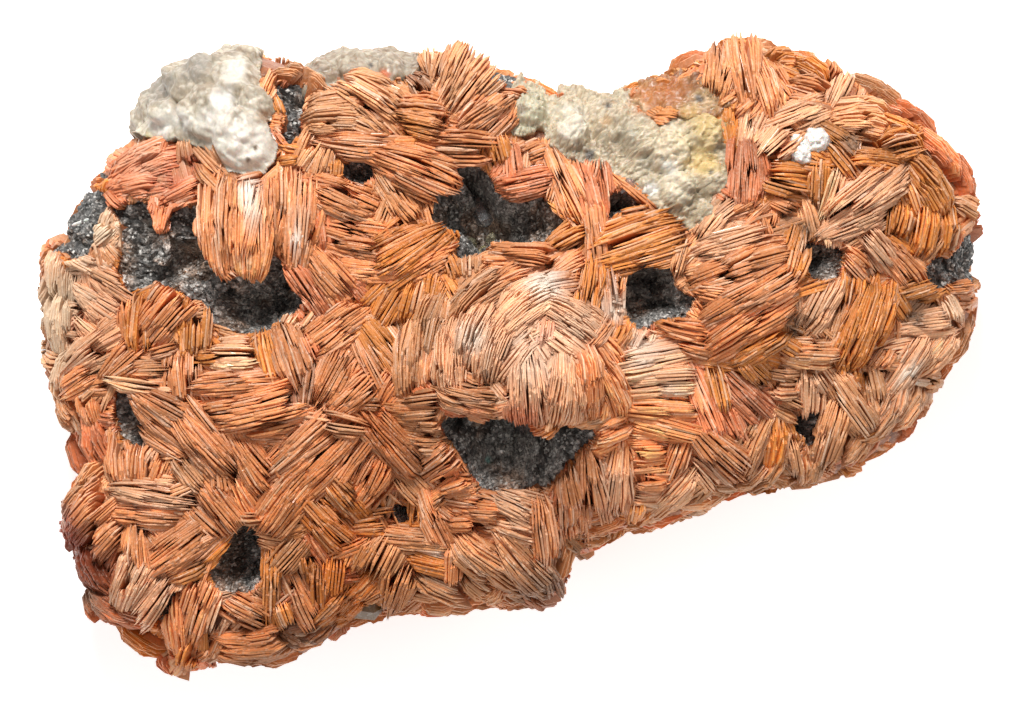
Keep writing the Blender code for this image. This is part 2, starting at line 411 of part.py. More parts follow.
def build_crust():
    """The crust with all its books as one faceted form: a net over the face, and rings below its edge.

    The net has a corner at each corner of each book, so every book keeps its own flat sides and its
    sharp ridge. Where books cross, the higher one wins.
    """
    rim = ring(1.0)
    marks = [rim]
    edges = [(i, (i + 1) % SPOKES) for i in range(SPOKES)]
    count = SPOKES
    for row in BOOKS:
        marks.append(pulled_in(book_corners(row)))
        edges += [(count + a, count + b) for a, b in BOOK_EDGES]
        count += len(marks[-1])
    for share in FACE_RINGS:
        marks.append(ring(share)[::2])
    net = geometry.delaunay_2d_cdt([Vector(mark) for mark in np.concatenate(marks)], edges, [], 1, CLOSE)
    flat = np.array([point[:] for point in net[0]])
    share = outline_share(flat[:, 0], flat[:, 1])
    height = np.full(len(flat), -FOOT_DEPTH)
    for row in BOOKS:
        height = np.maximum(height, book_height(flat[:, 0], flat[:, 1], row))
    rim_number = {old: new for new, olds in enumerate(net[3]) for old in olds if old < SPOKES}
    z = surface_height(flat[:, 0], flat[:, 1]) + height * np.clip((1 - share) * 12, 0, 1)
    points = [np.column_stack([flat, z])]
    faces = [tuple(face) for face in net[2]]
    upper = [rim_number[i] for i in range(SPOKES)]
    first = len(flat)
    for drop in (*SIDE_RINGS, RIM_HEIGHT / (RIM_HEIGHT + REST_SINK)):
        level = (1 - drop**BACK_SQUARENESS) ** (1 / BACK_SQUARENESS)
        low = RIM_HEIGHT - (RIM_HEIGHT + REST_SINK) * drop
        points.append(np.column_stack([ring(level, RIB_HEIGHT), np.full(SPOKES, low)]))
        lower = list(range(first, first + SPOKES))
        for i in range(SPOKES):
            j = (i + 1) % SPOKES
            faces += [(upper[i], lower[i], lower[j]), (upper[i], lower[j], upper[j])]
        upper = lower
        first += SPOKES
    faces.append(tuple(upper[::-1]))
    return helper("crust", np.concatenate(points), faces)


def form_points(directions, depth):
    """The form, or the layer that lies depth(x, y) under it, one point for each unit direction.

    A direction's share of the way out is its level length to the power 2 / squareness, and its share of
    the way up is its upright length to the same power, which makes the section a rounded square.
    """
    across = np.hypot(directions[:, 0], directions[:, 1])
    upright = np.abs(directions[:, 2])
    above = directions[:, 2] >= 0
    power = np.where(above, 2 / FACE_SQUARENESS, 2 / BACK_SQUARENESS)
    angle = np.arctan2(directions[:, 1], directions[:, 0])
    share = across**power
    reach = outline_radius(angle)
    taken = depth(HUB[0] + reach * share * np.cos(angle), HUB[1] + reach * share * np.sin(angle))
    reach = reach - SIDE_SHARE * taken
    x = HUB[0] + reach * share * np.cos(angle)
    y = HUB[1] + reach * share * np.sin(angle)
    lift = upright**power
    top = RIM_HEIGHT + (face_height(x, y) - taken - RIM_HEIGHT) * lift
    bottom = np.maximum(RIM_HEIGHT - (RIM_HEIGHT + REST_SINK) * lift, 0)
    return np.stack([x, y, np.where(above, top, bottom)], axis=1)


def helper(name, points, faces):
    """An object that only shapes others, from points in millimetres."""
    mesh = bpy.data.meshes.new(name)
    mesh.from_pydata([tuple(point) for point in np.asarray(points) * MM], [], faces)
    obj = bpy.data.objects.new(name, mesh)
    bpy.context.scene.collection.objects.link(obj)
    obj.hide_render = True
    obj.display_type = "WIRE"
    return obj


def ball(detail):
    """Unit directions and faces of a ball made of even triangles."""
    grid = bmesh.new()
    bmesh.ops.create_icosphere(grid, subdivisions=detail, radius=1)
    grid.verts.index_update()
    directions = np.array([vertex.co[:] for vertex in grid.verts])
    faces = [[vertex.index for vertex in face.verts] for face in grid.faces]
    grid.free()
    return directions, faces


def layer(name, depth, triangles, roughness=0.0):
    """A closed solid of the form at a depth below its surface, lightened to a number of triangles.

    Noise pushes its points in and out, but for those near the floor that it rests on.
    """
    directions, faces = ball(FINE_BALL)
    points = form_points(directions, depth)
    if roughness:
        push = np.array([noise.noise(Vector(point) * NOISE_SCALE) for point in points])
        fade = np.clip(points[:, 2] / RIM_HEIGHT, 0, 1)
        points += directions * (roughness * push * fade)[:, None]
    dense = helper(name, points, faces)
    lighter = dense.modifiers.new("lighter", "DECIMATE")
    lighter.ratio = triangles / len(faces)
    return evaluated(name, dense)


def evaluated(name, obj):
    """A new hidden object with the shape that the object's modifiers give it."""
    graph = bpy.context.evaluated_depsgraph_get()
    mesh = bpy.data.meshes.new_from_object(obj.evaluated_get(graph))
    obj.modifiers.clear()
    result = bpy.data.objects.new(name, mesh)
    bpy.context.scene.collection.objects.link(result)
    result.hide_render = True
    result.display_type = "WIRE"
    return result


def prism(name, corners, low, high, grow=0.0, foot=1.0):
    """An upright solid on a polygon, grown sideways, its lower end that share of the polygon's size."""
    corners = np.array(corners, float)
    centre = corners.mean(axis=0)
    before = corners - np.roll(corners, 1, axis=0)
    after = np.roll(corners, -1, axis=0) - corners
    normal = np.stack([before[:, 1] + after[:, 1], -before[:, 0] - after[:, 0]], axis=1)
    normal /= np.linalg.norm(normal, axis=1)[:, None]
    area = np.sum(corners[:, 0] * np.roll(corners[:, 1], -1) - np.roll(corners[:, 0], -1) * corners[:, 1])
    normal *= math.copysign(1, area)
    upper = corners + normal * grow
    lower = centre + (upper - centre) * foot
    count = len(corners)
    points = np.concatenate([
        np.column_stack([lower, np.full(count, low)]), np.column_stack([upper, np.full(count, high)]),
    ])
    around = [(i, (i + 1) % count, (i + 1) % count + count, i + count) for i in range(count)]
    ends = [tuple(range(count))[::-1], tuple(range(count, 2 * count))]
    faces = around + ends
    if area < 0:
        faces = [face[::-1] for face in faces]
    return helper(name, points, faces)


def lobe(name, place, grow=0.0):
    """A round lump that sits in the surface."""
    x, y, radius, rise = place
    directions, faces = ball(2)
    centre = np.array([x, y, float(surface_height(x, y)) + rise - radius * 0.9])
    return helper(name, centre + directions * (radius + grow), faces)


def combined(name, base, steps):
    """The base after a chain of Booleans, each against a list of objects, as a new object."""
    for number, (operation, others) in enumerate(steps):
        group = bpy.data.collections.new(f"{name}_{number}")
        for other in others:
            group.objects.link(other)
        modifier = base.modifiers.new(f"{operation}_{number}", "BOOLEAN")
        modifier.operation = operation
        modifier.operand_type = "COLLECTION"
        modifier.collection = group
        modifier.solver = "EXACT"
    graph = bpy.context.evaluated_depsgraph_get()
    mesh = bpy.data.meshes.new_from_object(base.evaluated_get(graph))
    base.modifiers.clear()
    mesh.name = name
    result = bpy.data.objects.new(name, mesh)
    bpy.context.scene.collection.objects.link(result)
    return result


def largest_body(obj):
    """Triangulates the object, melts its needle faces and drops every chip that isn't joined to it."""
    grid = bmesh.new()
    grid.from_mesh(obj.data)
    bmesh.ops.remove_doubles(grid, verts=grid.verts, dist=0.00001)
    bmesh.ops.dissolve_degenerate(grid, edges=grid.edges, dist=0.00001)
    bmesh.ops.triangulate(grid, faces=grid.faces)
    left = set(grid.verts)
    bodies = []
    while left:
        body = {left.pop()}
        front = list(body)
        while front:
            for edge in front.pop().link_edges:
                for vertex in edge.verts:
                    if vertex in left:
                        left.remove(vertex)
                        body.add(vertex)
                        front.append(vertex)
        bodies.append(body)
    keep = max(bodies, key=len)
    bmesh.ops.delete(grid, geom=[v for v in grid.verts if v not in keep], context="VERTS")
    grid.to_mesh(obj.data)
    grid.free()
    return obj


def finish(obj, colour, roughness, metallic=0.0):
    """Gives a piece its own material."""
    material = bpy.data.materials.new(obj.name)
    material.use_nodes = True
    shader = material.node_tree.nodes["Principled BSDF"]
    shader.inputs["Base Color"].default_value = (*colour, 1)
    shader.inputs["Roughness"].default_value = roughness
    shader.inputs["Metallic"].default_value = metallic
    obj.data.materials.clear()
    obj.data.materials.append(material)
    return obj


def skirt_cutter():
    """Everything below the barite's lower edge, under a surface that wanders up and down."""
    columns, rows = 10, 7
    x = np.linspace(-68, 68, columns)
    y = np.linspace(-48, 48, rows)
    grid_x, grid_y = np.meshgrid(x, y)
    wander = np.sin(grid_x * 0.21 + 1.3) * np.cos(grid_y * 0.17 - 0.4) + 0.5 * np.sin(grid_x * 0.43 + grid_y * 0.31)
    top = SKIRT_HEIGHT + SKIRT_WANDER * wander
    mesh_points = np.stack([grid_x.ravel(), grid_y.ravel(), top.ravel()], axis=1)
    faces = []
    for row in range(rows - 1):
        for column in range(columns - 1):
            a = row * columns + column
            faces += [(a, a + 1, a + columns + 1), (a, a + columns + 1, a + columns)]
    edge = [i for i in range(columns)]
    edge += [row * columns + columns - 1 for row in range(1, rows)]
    edge += [(rows - 1) * columns + i for i in range(columns - 2, -1, -1)]
    edge += [row * columns for row in range(rows - 2, 0, -1)]
    first = len(mesh_points)
    floor = [(mesh_points[i][0], mesh_points[i][1], -20.0) for i in edge]
    count = len(edge)
    faces += [(first + i, first + (i + 1) % count, edge[(i + 1) % count], edge[i]) for i in range(count)]
    faces.append(tuple(range(first, first + count))[::-1])
    return helper("skirt", list(mesh_points) + floor, faces)


def build_galena():
    """The galena's whole body: the form under the barite, with angular blocks where it shows."""
    return layer("galena_body", galena_depth, GALENA_TRIANGLES, roughness=0.9)


def grown(name, obj, distance):
    """A copy of a solid with every corner moved out along its normal."""
    mesh = obj.data.copy()
    normals = [vertex.normal.copy() for vertex in mesh.vertices]
    for vertex, normal in zip(mesh.vertices, normals):
        vertex.co += normal * distance * MM
    points = [vertex.co / MM for vertex in mesh.vertices]
    return helper(name, [point[:] for point in points], [face.vertices[:] for face in mesh.polygons])


def build_barite(galena, pale_cutters, lobes):
    """The barite: a crust with its books, cut open at the windows, with the galena's seat cut out."""
    crust = build_crust()
    windows = [
        prism(f"window_{name}", corners, low, TALL, foot=WINDOW_FOOT)
        for name, (low, corners) in WINDOWS.items()
    ]
    seat = grown("galena_seat", galena, SEAT_GROWTH)
    steps = [("DIFFERENCE", [*windows, skirt_cutter()]), ("DIFFERENCE", [seat, *pale_cutters, *lobes])]
    return largest_body(combined("barite_crystals", crust, steps))


def pale_cutter(name, bed):
    """The room of a pale crust, with its clearance, from its bed in the form upwards."""
    _, corners = PALE_CRUSTS[name]
    room = prism(f"room_{name}", corners, RIM_HEIGHT - 3, TALL, grow=CLEARANCE)
    cutter = combined(f"cutter_{name}", room, [("DIFFERENCE", [bed])])
    cutter.hide_render = True
    cutter.display_type = "WIRE"
    return cutter


def build_pale_crust(name, bed):
    """A crust that lies in its bed in the form, uneven on top, with its round lumps."""
    stand, corners = PALE_CRUSTS[name]

    def depth(x, y):
        return -stand - lump_heights(x, y, CRUST_LUMPS[name])

    outer = layer(f"outer_{name}", depth, PALE_TRIANGLES[name], roughness=0.9)
    slab = prism(f"slab_{name}", corners, RIM_HEIGHT - 3 + CLEARANCE, TALL)
    return largest_body(combined(name, outer, [("INTERSECT", [slab]), ("DIFFERENCE", [bed])]))


def build_nodule():
    """The white nodule: lobes grown into one another."""
    lobes = [lobe(f"nodule_{i}", place) for i, place in enumerate(NODULE_LOBES)]
    return largest_body(combined("white_nodule", lobes[0], [("UNION", lobes[1:])]))


def centre_on_box(pieces):
    """Moves all pieces so that the middle of their box stands over the origin, with its floor at zero."""
    corners = np.concatenate([
        np.array([vertex.co[:] for vertex in piece.data.vertices]) for piece in pieces
    ])
    low = corners.min(axis=0)
    high = corners.max(axis=0)
    shift = Vector((-(low[0] + high[0]) / 2, -(low[1] + high[1]) / 2, -low[2]))
    for piece in pieces:
        piece.data.transform(Matrix.Translation(shift))
    print("shift in mm:", [round(value / MM, 3) for value in shift])


def main():
    for obj in list(bpy.data.objects):
        bpy.data.objects.remove(obj, do_unlink=True)
    bed = layer("bed", lambda x, y: np.full_like(x, PALE_DEPTH), BED_TRIANGLES)
    deeper_bed = grown("deeper_bed", bed, -BED_GAP)
    rooms = [pale_cutter(name, deeper_bed) for name in PALE_CRUSTS]
    nodule_room = [
        lobe(f"nodule_room_{i}", place, grow=CLEARANCE) for i, place in enumerate(NODULE_LOBES)
    ]
    galena = build_galena()
    barite = build_barite(galena, rooms, nodule_room)
    matrix = largest_body(combined("galena_matrix", galena, [("DIFFERENCE", rooms)]))
    pieces = [
        finish(matrix, (0.06, 0.06, 0.06), 0.6, 0.2),
        finish(barite, (0.52, 0.22, 0.11), 0.55),
        finish(build_pale_crust("white_crust_left", bed), (0.66, 0.62, 0.54), 0.6),
        finish(build_pale_crust("pale_crust_top", bed), (0.60, 0.55, 0.43), 0.55),
        finish(build_pale_crust("pale_crust_middle", bed), (0.62, 0.56, 0.42), 0.7),
        finish(build_nodule(), (0.85, 0.83, 0.80), 0.5),
    ]
    centre_on_box(pieces)
    for piece in pieces:
        print(piece.name, len(piece.data.polygons), "faces")


main()
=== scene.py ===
"""The looks of a barite specimen on galena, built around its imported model.

Thin plates stand edge-on in stacks ("books") over dark granular galena, with pale crusts at the upper
edge. All places are in millimetres, in a plane seen from above: +X to the right, +Y up the specimen's
face and +Z out of it, as the solids are drawn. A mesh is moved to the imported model's place as it is made.
"""

from __future__ import annotations

import json
import logging
import math
from dataclasses import dataclass, field, fields, replace
from enum import Enum
from typing import Callable

import bpy
import numpy as np
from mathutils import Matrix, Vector

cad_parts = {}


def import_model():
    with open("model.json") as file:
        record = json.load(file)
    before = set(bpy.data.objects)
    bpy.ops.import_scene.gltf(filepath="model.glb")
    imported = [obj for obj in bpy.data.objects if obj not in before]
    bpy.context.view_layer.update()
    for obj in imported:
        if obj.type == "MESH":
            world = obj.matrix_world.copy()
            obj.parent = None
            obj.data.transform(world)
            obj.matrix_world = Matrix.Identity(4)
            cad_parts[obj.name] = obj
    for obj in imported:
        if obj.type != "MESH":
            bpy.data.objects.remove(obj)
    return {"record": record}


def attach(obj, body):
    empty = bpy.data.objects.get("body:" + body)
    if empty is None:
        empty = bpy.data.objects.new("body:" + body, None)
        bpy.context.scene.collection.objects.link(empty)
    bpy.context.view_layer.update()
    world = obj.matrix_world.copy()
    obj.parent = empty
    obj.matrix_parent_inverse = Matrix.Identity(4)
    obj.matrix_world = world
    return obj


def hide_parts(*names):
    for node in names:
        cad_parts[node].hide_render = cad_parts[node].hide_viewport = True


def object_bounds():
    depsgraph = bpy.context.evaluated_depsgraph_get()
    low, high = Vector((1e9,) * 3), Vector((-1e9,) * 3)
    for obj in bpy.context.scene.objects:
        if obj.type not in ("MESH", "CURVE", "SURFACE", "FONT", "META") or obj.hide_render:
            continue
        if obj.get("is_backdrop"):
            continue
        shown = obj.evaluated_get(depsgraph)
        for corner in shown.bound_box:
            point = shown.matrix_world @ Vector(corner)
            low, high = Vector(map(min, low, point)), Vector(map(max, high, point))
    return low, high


LOG = logging.getLogger("specimen")
MM = 0.001

Array = np.ndarray
Relief = Callable[[Array, Array], Array]

BLOCK_SHARE = 0.45
CRUST_THICKNESS = 6.0
LEAST_COVER = 1.0
OUTLINE = [
    (59.7, 16.4), (58.5, 21.5), (55.9, 26.6), (49.5, 31.7), (43.2, 36.2), (35.5, 39.4), (27.8, 40.4),
    (22.7, 37.5), (17.6, 35.6), (11.2, 32.6), (4.9, 34.3), (-3.4, 37.5), (-7.9, 38.7), (-13.0, 38.7),
    (-22.0, 39.4), (-27.1, 36.8), (-33.4, 39.1), (-41.1, 36.8), (-46.2, 33.0), (-47.5, 28.5),
    (-53.9, 22.8), (-57.7, 17.0), (-60.0, 12.6), (-59.2, -1.5), (-57.7, -5.3), (-54.5, -13.0),
    (-56.6, -18.1), (-57.3, -21.9), (-54.5, -28.3), (-53.2, -32.7), (-46.2, -35.9), (-43.0, -40.4),
    (-37.3, -38.7), (-27.1, -37.9), (-21.3, -34.0), (-16.9, -33.0), (-10.5, -32.1), (-4.1, -31.5),
    (5.3, -30.8), (7.4, -25.1), (13.8, -21.9), (29.1, -16.8), (43.2, -14.2), (49.5, -10.4), (58.5, 3.6),
]
RELIEF = [
    (1.5, -0.5, 13.0, 8.5), (3.5, -4.5, 6.0, 2.5), (-33.5, 17.0, 6.0, 2.5), (-6.0, 33.5, 8.0, 2.0),
    (-17.0, 31.0, 8.0, 2.0), (29.5, 7.5, 9.0, 3.5), (28.5, 35.5, 7.0, 2.0), (-48.0, -27.0, 9.0, 2.0),
    (-1.0, -24.5, 8.0, 2.5), (-33.0, -5.5, 8.0, 2.0), (44.5, 20.5, 8.0, 1.5), (45.0, 4.0, 7.0, 1.5),
    (-37.0, 33.0, 9.0, 3.0), (-16.0, 4.0, 6.0, -2.5), (-13.0, -18.5, 7.0, -3.0), (37.0, -8.0, 6.0, -3.0),
    (37.0, 17.5, 5.0, -2.0), (-19.0, -24.0, 6.0, -2.0), (-3.0, 18.5, 8.0, -2.0), (23.5, -3.0, 6.0, -1.5),
    (-35.0, -25.0, 7.0, -2.0), (-55.0, 5.0, 12.0, -2.5), (54.0, 10.0, 12.0, -3.5), (52.0, -3.0, 11.0, -3.0),
    (-26.0, -33.0, 9.0, -3.0), (12.0, -18.0, 8.0, 1.0),
]
COVER = [
    (0.5, -10.5, 6.0, 8.0), (37.5, -8.5, 4.0, 6.0), (-49.0, -7.5, 4.0, 1.0), (-44.0, 14.5, 5.0, 3.0),
    (-33.0, 8.5, 4.5, 4.0), (-2.5, 18.5, 5.5, 3.0), (18.0, 8.0, 3.5, 3.0), (39.0, 12.0, 2.5, 2.0),
    (-55.5, 18.5, 7.0, -5.0), (58.0, 13.5, 6.5, -5.0), (0.5, 37.5, 6.5, -5.0), (-28.5, 31.5, 4.5, -3.0),
    (-58.0, 4.0, 7.0, -3.0), (-35.0, -25.5, 5.0, 1.0),
]
WINDOWS = {
    "hollow": (12.0, [
        (-8.4, -7.2), (-5.2, -6.6), (-1.5, -6.6), (2.5, -7.4), (7.0, -7.4), (10.0, -7.9), (10.5, -9.8),
        (9.0, -11.5), (5.2, -15.3), (3.2, -16.2), (-2.5, -16.6), (-4.0, -16.0), (-7.0, -11.5),
    ]),
    "left_pit": (12.0, [
        (-50.3, 18.6), (-45.5, 19.6), (-40.0, 20.4), (-38.0, 21.0), (-37.5, 9.0), (-41.0, 8.2),
        (-45.0, 10.2), (-48.0, 8.4), (-50.0, 10.5), (-49.6, 14.5),
    ]),
    "lower_pit": (12.0, [
        (-38.8, 9.8), (-36.0, 12.5), (-29.5, 13.4), (-27.5, 10.5), (-26.6, 7.2), (-28.6, 5.2),
        (-30.5, 4.6), (-33.8, 3.2), (-37.6, 4.4), (-39.2, 7.0),
    ]),
    "upper_pit": (12.0, [
        (-10.6, 20.4), (-7.6, 22.0), (-5.6, 25.2), (-3.6, 24.4), (-2.6, 21.8), (1.5, 20.0), (5.0, 20.2),
        (6.2, 16.6), (4.2, 13.6), (1.0, 13.8), (-2.0, 15.2), (-5.0, 13.6), (-7.2, 14.4), (-7.0, 16.4),
        (-10.8, 17.6),
    ]),
    "left_edge": (13.0, [
        (-53.0, 24.0), (-50.2, 20.0), (-50.3, 17.6), (-53.6, 14.2), (-57.2, 15.0), (-59.6, 14.6),
        (-63.0, 16.0), (-58.0, 25.0),
    ]),
    "right_edge": (12.0, [
        (64.0, 19.0), (58.6, 18.0), (57.2, 15.0), (55.6, 13.0), (54.0, 13.2), (52.2, 11.0), (54.0, 8.8),
        (57.0, 10.0), (64.0, 9.0),
    ]),
    "top_edge": (16.0, [
        (-4.0, 42.0), (-3.6, 37.4), (-2.4, 35.2), (-1.0, 33.4), (0.2, 33.6), (0.2, 35.0), (3.0, 34.8),
        (6.5, 33.0), (8.0, 36.0), (3.0, 41.0),
    ]),
    "beside_crust": (12.0, [
        (-30.4, 35.0), (-26.8, 35.0), (-25.6, 33.4), (-26.8, 31.2), (-26.8, 28.6), (-28.4, 26.8),
        (-29.4, 28.6), (-28.6, 30.6), (-29.6, 32.4),
    ]),
    "small_upper": (12.0, [(-21.6, 24.8), (-18.0, 25.2), (-17.4, 23.2), (-19.2, 21.8), (-21.6, 23.4)]),
    "middle_right": (12.0, [
        (14.0, 10.9), (17.2, 12.0), (20.2, 12.0), (21.0, 8.8), (23.4, 7.6), (21.8, 5.4), (19.0, 5.2),
        (15.6, 3.6), (14.0, 6.2), (13.6, 8.4),
    ]),
    "right_pit": (12.0, [(36.8, 14.6), (39.4, 14.4), (41.9, 14.0), (41.4, 10.2), (38.0, 9.8), (36.4, 11.8)]),
    "under_crust": (12.0, [(12.0, 20.6), (14.2, 21.4), (16.6, 19.6), (14.4, 18.6), (12.2, 17.8)]),
    "slot": (12.0, [
        (-50.3, -3.8), (-48.4, -3.9), (-47.6, -6.6), (-46.6, -9.4), (-45.4, -11.0), (-47.4, -11.5),
        (-49.6, -10.0), (-50.4, -7.6),
    ]),
    "deep_hole": (8.0, [
        (35.0, -8.2), (38.2, -6.4), (39.6, -5.8), (38.6, -8.6), (38.8, -10.4), (37.8, -11.4), (36.8, -9.8),
    ]),
    "bottom_pit": (10.0, [
        (-37.2, -24.6), (-35.6, -22.0), (-33.6, -20.4), (-32.0, -22.6), (-31.4, -25.0), (-31.8, -28.0),
        (-33.6, -29.8), (-37.0, -29.8), (-38.6, -27.2),
    ]),
    "bottom_left": (10.0, [(-45.6, -32.4), (-43.4, -29.0), (-42.3, -28.2), (-42.4, -30.4), (-44.0, -34.4)]),
    "low_notch": (10.0, [(-15.4, -18.4), (-13.2, -18.3), (-12.6, -20.4), (-14.6, -21.2)]),
}
GALENA_BLOCKS = [
    (-5.6, -10.5, 4.6, 20), (-1.8, -13.6, 5.0, 50), (7.2, -10.6, 4.8, 35), (1.6, -11.4, 3.4, 75),
    (-47.0, 15.6, 5.0, 15), (-43.6, 12.4, 5.2, 40), (-46.8, 11.0, 4.2, 70), (-41.4, 17.4, 4.4, 30),
    (-34.6, 6.8, 5.6, 25), (-30.6, 7.8, 4.8, 60), (-36.4, 8.0, 3.8, 10), (-8.8, 18.8, 4.4, 35),
    (-4.6, 19.2, 4.2, 65), (2.6, 17.2, 5.8, 20), (-0.6, 15.6, 3.6, 50), (-55.4, 18.4, 5.2, 40),
    (-52.4, 17.6, 3.8, 15), (57.6, 14.6, 4.6, 25), (55.0, 11.4, 3.8, 55), (0.0, 36.2, 4.4, 35),
    (3.2, 35.4, 3.4, 10), (-27.8, 31.6, 3.6, 30), (17.6, 8.4, 5.6, 15), (20.2, 7.4, 3.8, 50),
    (38.6, 12.4, 4.4, 30), (-19.6, 23.6, 3.2, 45), (-49.0, -7.6, 2.6, 20), (-35.2, -26.2, 4.4, 40),
    (-34.2, -23.4, 3.4, 10), (-43.8, -31.4, 2.8, 35),
]
PALE_CRUSTS = {
    "white_crust_left": (1.2, [
        (-48.5, 28.6), (-45.2, 27.8), (-42.0, 27.6), (-39.8, 27.4), (-37.6, 26.4), (-35.6, 23.6),
        (-33.6, 22.9), (-31.4, 23.2), (-29.6, 24.6), (-29.2, 26.6), (-30.2, 28.8), (-29.4, 31.0),
        (-30.0, 33.0), (-31.2, 35.2), (-31.6, 40.5), (-36.0, 42.0), (-43.5, 39.0), (-49.0, 34.0),
    ]),
    "pale_crust_top": (0.5, [
        (-27.8, 36.4), (-24.6, 33.6), (-22.4, 33.8), (-20.0, 34.6), (-16.4, 35.0), (-13.6, 35.2),
        (-11.6, 36.0), (-12.2, 41.5), (-22.0, 42.5), (-28.4, 38.5),
    ]),
    "pale_crust_middle": (1.0, [
        (0.4, 34.9), (3.0, 34.4), (5.8, 33.0), (6.6, 36.5), (12.0, 36.0), (15.0, 36.0), (15.6, 31.8),
        (17.4, 30.6), (20.0, 30.2), (23.0, 31.2), (25.4, 31.2), (27.6, 29.8), (28.2, 27.4),
        (27.6, 25.0), (27.0, 21.0), (26.2, 18.6), (24.8, 16.2), (22.6, 14.9), (21.4, 16.8),
        (18.4, 18.8), (16.8, 20.4), (14.6, 21.4), (12.6, 23.2), (10.2, 24.6), (6.6, 24.8),
        (4.4, 26.6), (4.2, 28.6), (0.4, 27.8), (-0.4, 30.6),
    ]),
}
CRUST_LUMPS = {
    "white_crust_left": [
        (-33.2, 27.4, 3.9, 2.6), (-37.4, 30.6, 3.4, 2.4), (-43.4, 31.0, 1.8, 2.0), (-39.4, 30.4, 1.7, 2.4),
        (-34.6, 35.4, 3.0, 2.4), (-40.6, 34.6, 2.8, 2.0), (-31.8, 31.8, 2.2, 1.9), (-37.8, 35.4, 2.2, 2.6),
    ],
    "pale_crust_top": [(-20.0, 36.9, 2.0, 1.2), (-15.2, 36.8, 1.7, 1.1), (-24.0, 36.2, 1.6, 1.0)],
    "pale_crust_middle": [
        (2.2, 31.2, 2.2, 1.7), (7.4, 27.8, 2.2, 1.8), (11.8, 29.8, 2.8, 2.1), (15.8, 27.6, 2.6, 1.9),
        (19.6, 25.6, 2.6, 1.8), (23.8, 28.2, 2.4, 1.6), (20.6, 21.2, 2.3, 1.7), (25.0, 22.4, 2.2, 1.6),
        (24.2, 18.0, 1.6, 1.4), (7.2, 31.4, 1.8, 1.5),
    ],
}
NODULE_LOBES = [(38.5, 27.6, 1.7, 3.2), (36.7, 25.9, 1.5, 2.9), (36.2, 27.6, 1.1, 2.5)]
BARE = [
    [(-63.0, 14.4), (-59.3, 13.7), (-57.3, 13.5), (-56.6, 12.9), (-54.6, 13.0), (-53.1, 14.4), (-52.6, 17.0),
     (-51.2, 18.8), (-51.3, 20.6), (-52.9, 21.6), (-52.2, 23.2), (-53.0, 23.8), (-56.0, 25.0)],
    [(-51.0, 19.6), (-49.6, 18.9), (-48.6, 19.6), (-47.4, 20.0), (-46.2, 19.4), (-45.4, 18.2), (-45.2, 16.6),
     (-44.6, 15.8), (-43.8, 16.0), (-43.4, 17.4), (-43.2, 18.6), (-42.0, 19.2), (-40.2, 19.4), (-39.6, 20.6),
     (-38.2, 21.3), (-38.4, 19.5), (-38.8, 17.0), (-38.3, 14.2), (-37.0, 11.9), (-36.4, 10.1), (-35.6, 9.7),
     (-34.8, 10.8), (-34.2, 11.0), (-33.2, 9.8), (-32.4, 10.0), (-31.4, 11.8), (-30.4, 12.9), (-29.4, 13.0),
     (-28.9, 11.3), (-28.2, 10.5), (-27.6, 9.0), (-26.6, 7.4), (-27.4, 6.2), (-28.8, 4.8), (-30.2, 4.4),
     (-30.6, 3.6), (-32.0, 3.3), (-34.6, 3.2), (-36.4, 3.9), (-37.8, 4.4), (-38.3, 5.6), (-38.8, 7.0),
     (-40.4, 7.4), (-41.6, 8.3), (-43.0, 8.9), (-44.6, 9.8), (-45.6, 9.0), (-47.2, 8.5), (-48.8, 8.5),
     (-49.6, 10.0), (-50.2, 11.0), (-49.6, 12.8), (-49.8, 14.2), (-49.8, 15.8), (-49.6, 17.4), (-50.6, 18.6)],
    [(-10.5, 17.9), (-10.2, 19.6), (-10.2, 20.7), (-8.8, 21.5), (-7.0, 21.3), (-6.1, 21.7), (-6.4, 22.8),
     (-7.3, 23.8), (-7.6, 25.0), (-5.4, 25.3), (-4.2, 24.4), (-3.1, 23.4), (-2.4, 22.2), (-2.0, 21.4),
     (-1.2, 20.4), (0.8, 19.8), (2.6, 20.3), (4.0, 20.5), (4.8, 19.4), (6.2, 17.8), (6.6, 16.6), (5.6, 16.2),
     (5.0, 14.8), (3.8, 13.7), (1.8, 13.4), (-0.2, 14.0), (-1.6, 14.7), (-2.6, 14.2), (-3.4, 13.0),
     (-5.0, 12.4), (-6.8, 12.2), (-7.1, 13.4), (-6.6, 14.8), (-7.2, 16.0), (-9.0, 16.6), (-10.4, 17.3)],
    [(-8.5, -7.1), (-6.4, -7.2), (-5.2, -7.5), (-3.4, -7.7), (-1.6, -7.4), (-0.4, -7.0), (0.4, -7.6),
     (2.0, -8.2), (4.0, -8.3), (6.0, -8.2), (7.6, -8.4), (8.8, -8.6), (9.6, -8.0), (10.1, -8.6), (10.4, -9.8),
     (9.6, -10.6), (8.4, -11.6), (7.2, -12.8), (6.2, -14.2), (5.0, -15.6), (4.2, -16.2), (2.4, -16.1),
     (1.2, -16.5), (-1.4, -16.4), (-3.4, -16.7), (-4.4, -15.6), (-5.2, -14.4), (-6.0, -13.2), (-6.8, -11.8),
     (-7.6, -10.6), (-8.6, -9.6), (-8.8, -8.2)],
    *(WINDOWS[name][1] for name in (
        "right_edge", "top_edge", "beside_crust", "small_upper", "middle_right", "right_pit", "under_crust",
        "slot", "deep_hole", "bottom_pit", "bottom_left", "low_notch",
    )),
]
GALENA_SKINS = [
    [(-44.8, 16.5), (-43.8, 16.5), (-43.3, 15.0), (-44.0, 12.0), (-45.6, 12.5), (-45.6, 15.0)],
    [(-42.0, 9.6), (-37.6, 10.8), (-36.0, 9.4), (-38.6, 6.6), (-42.0, 8.4)],
]
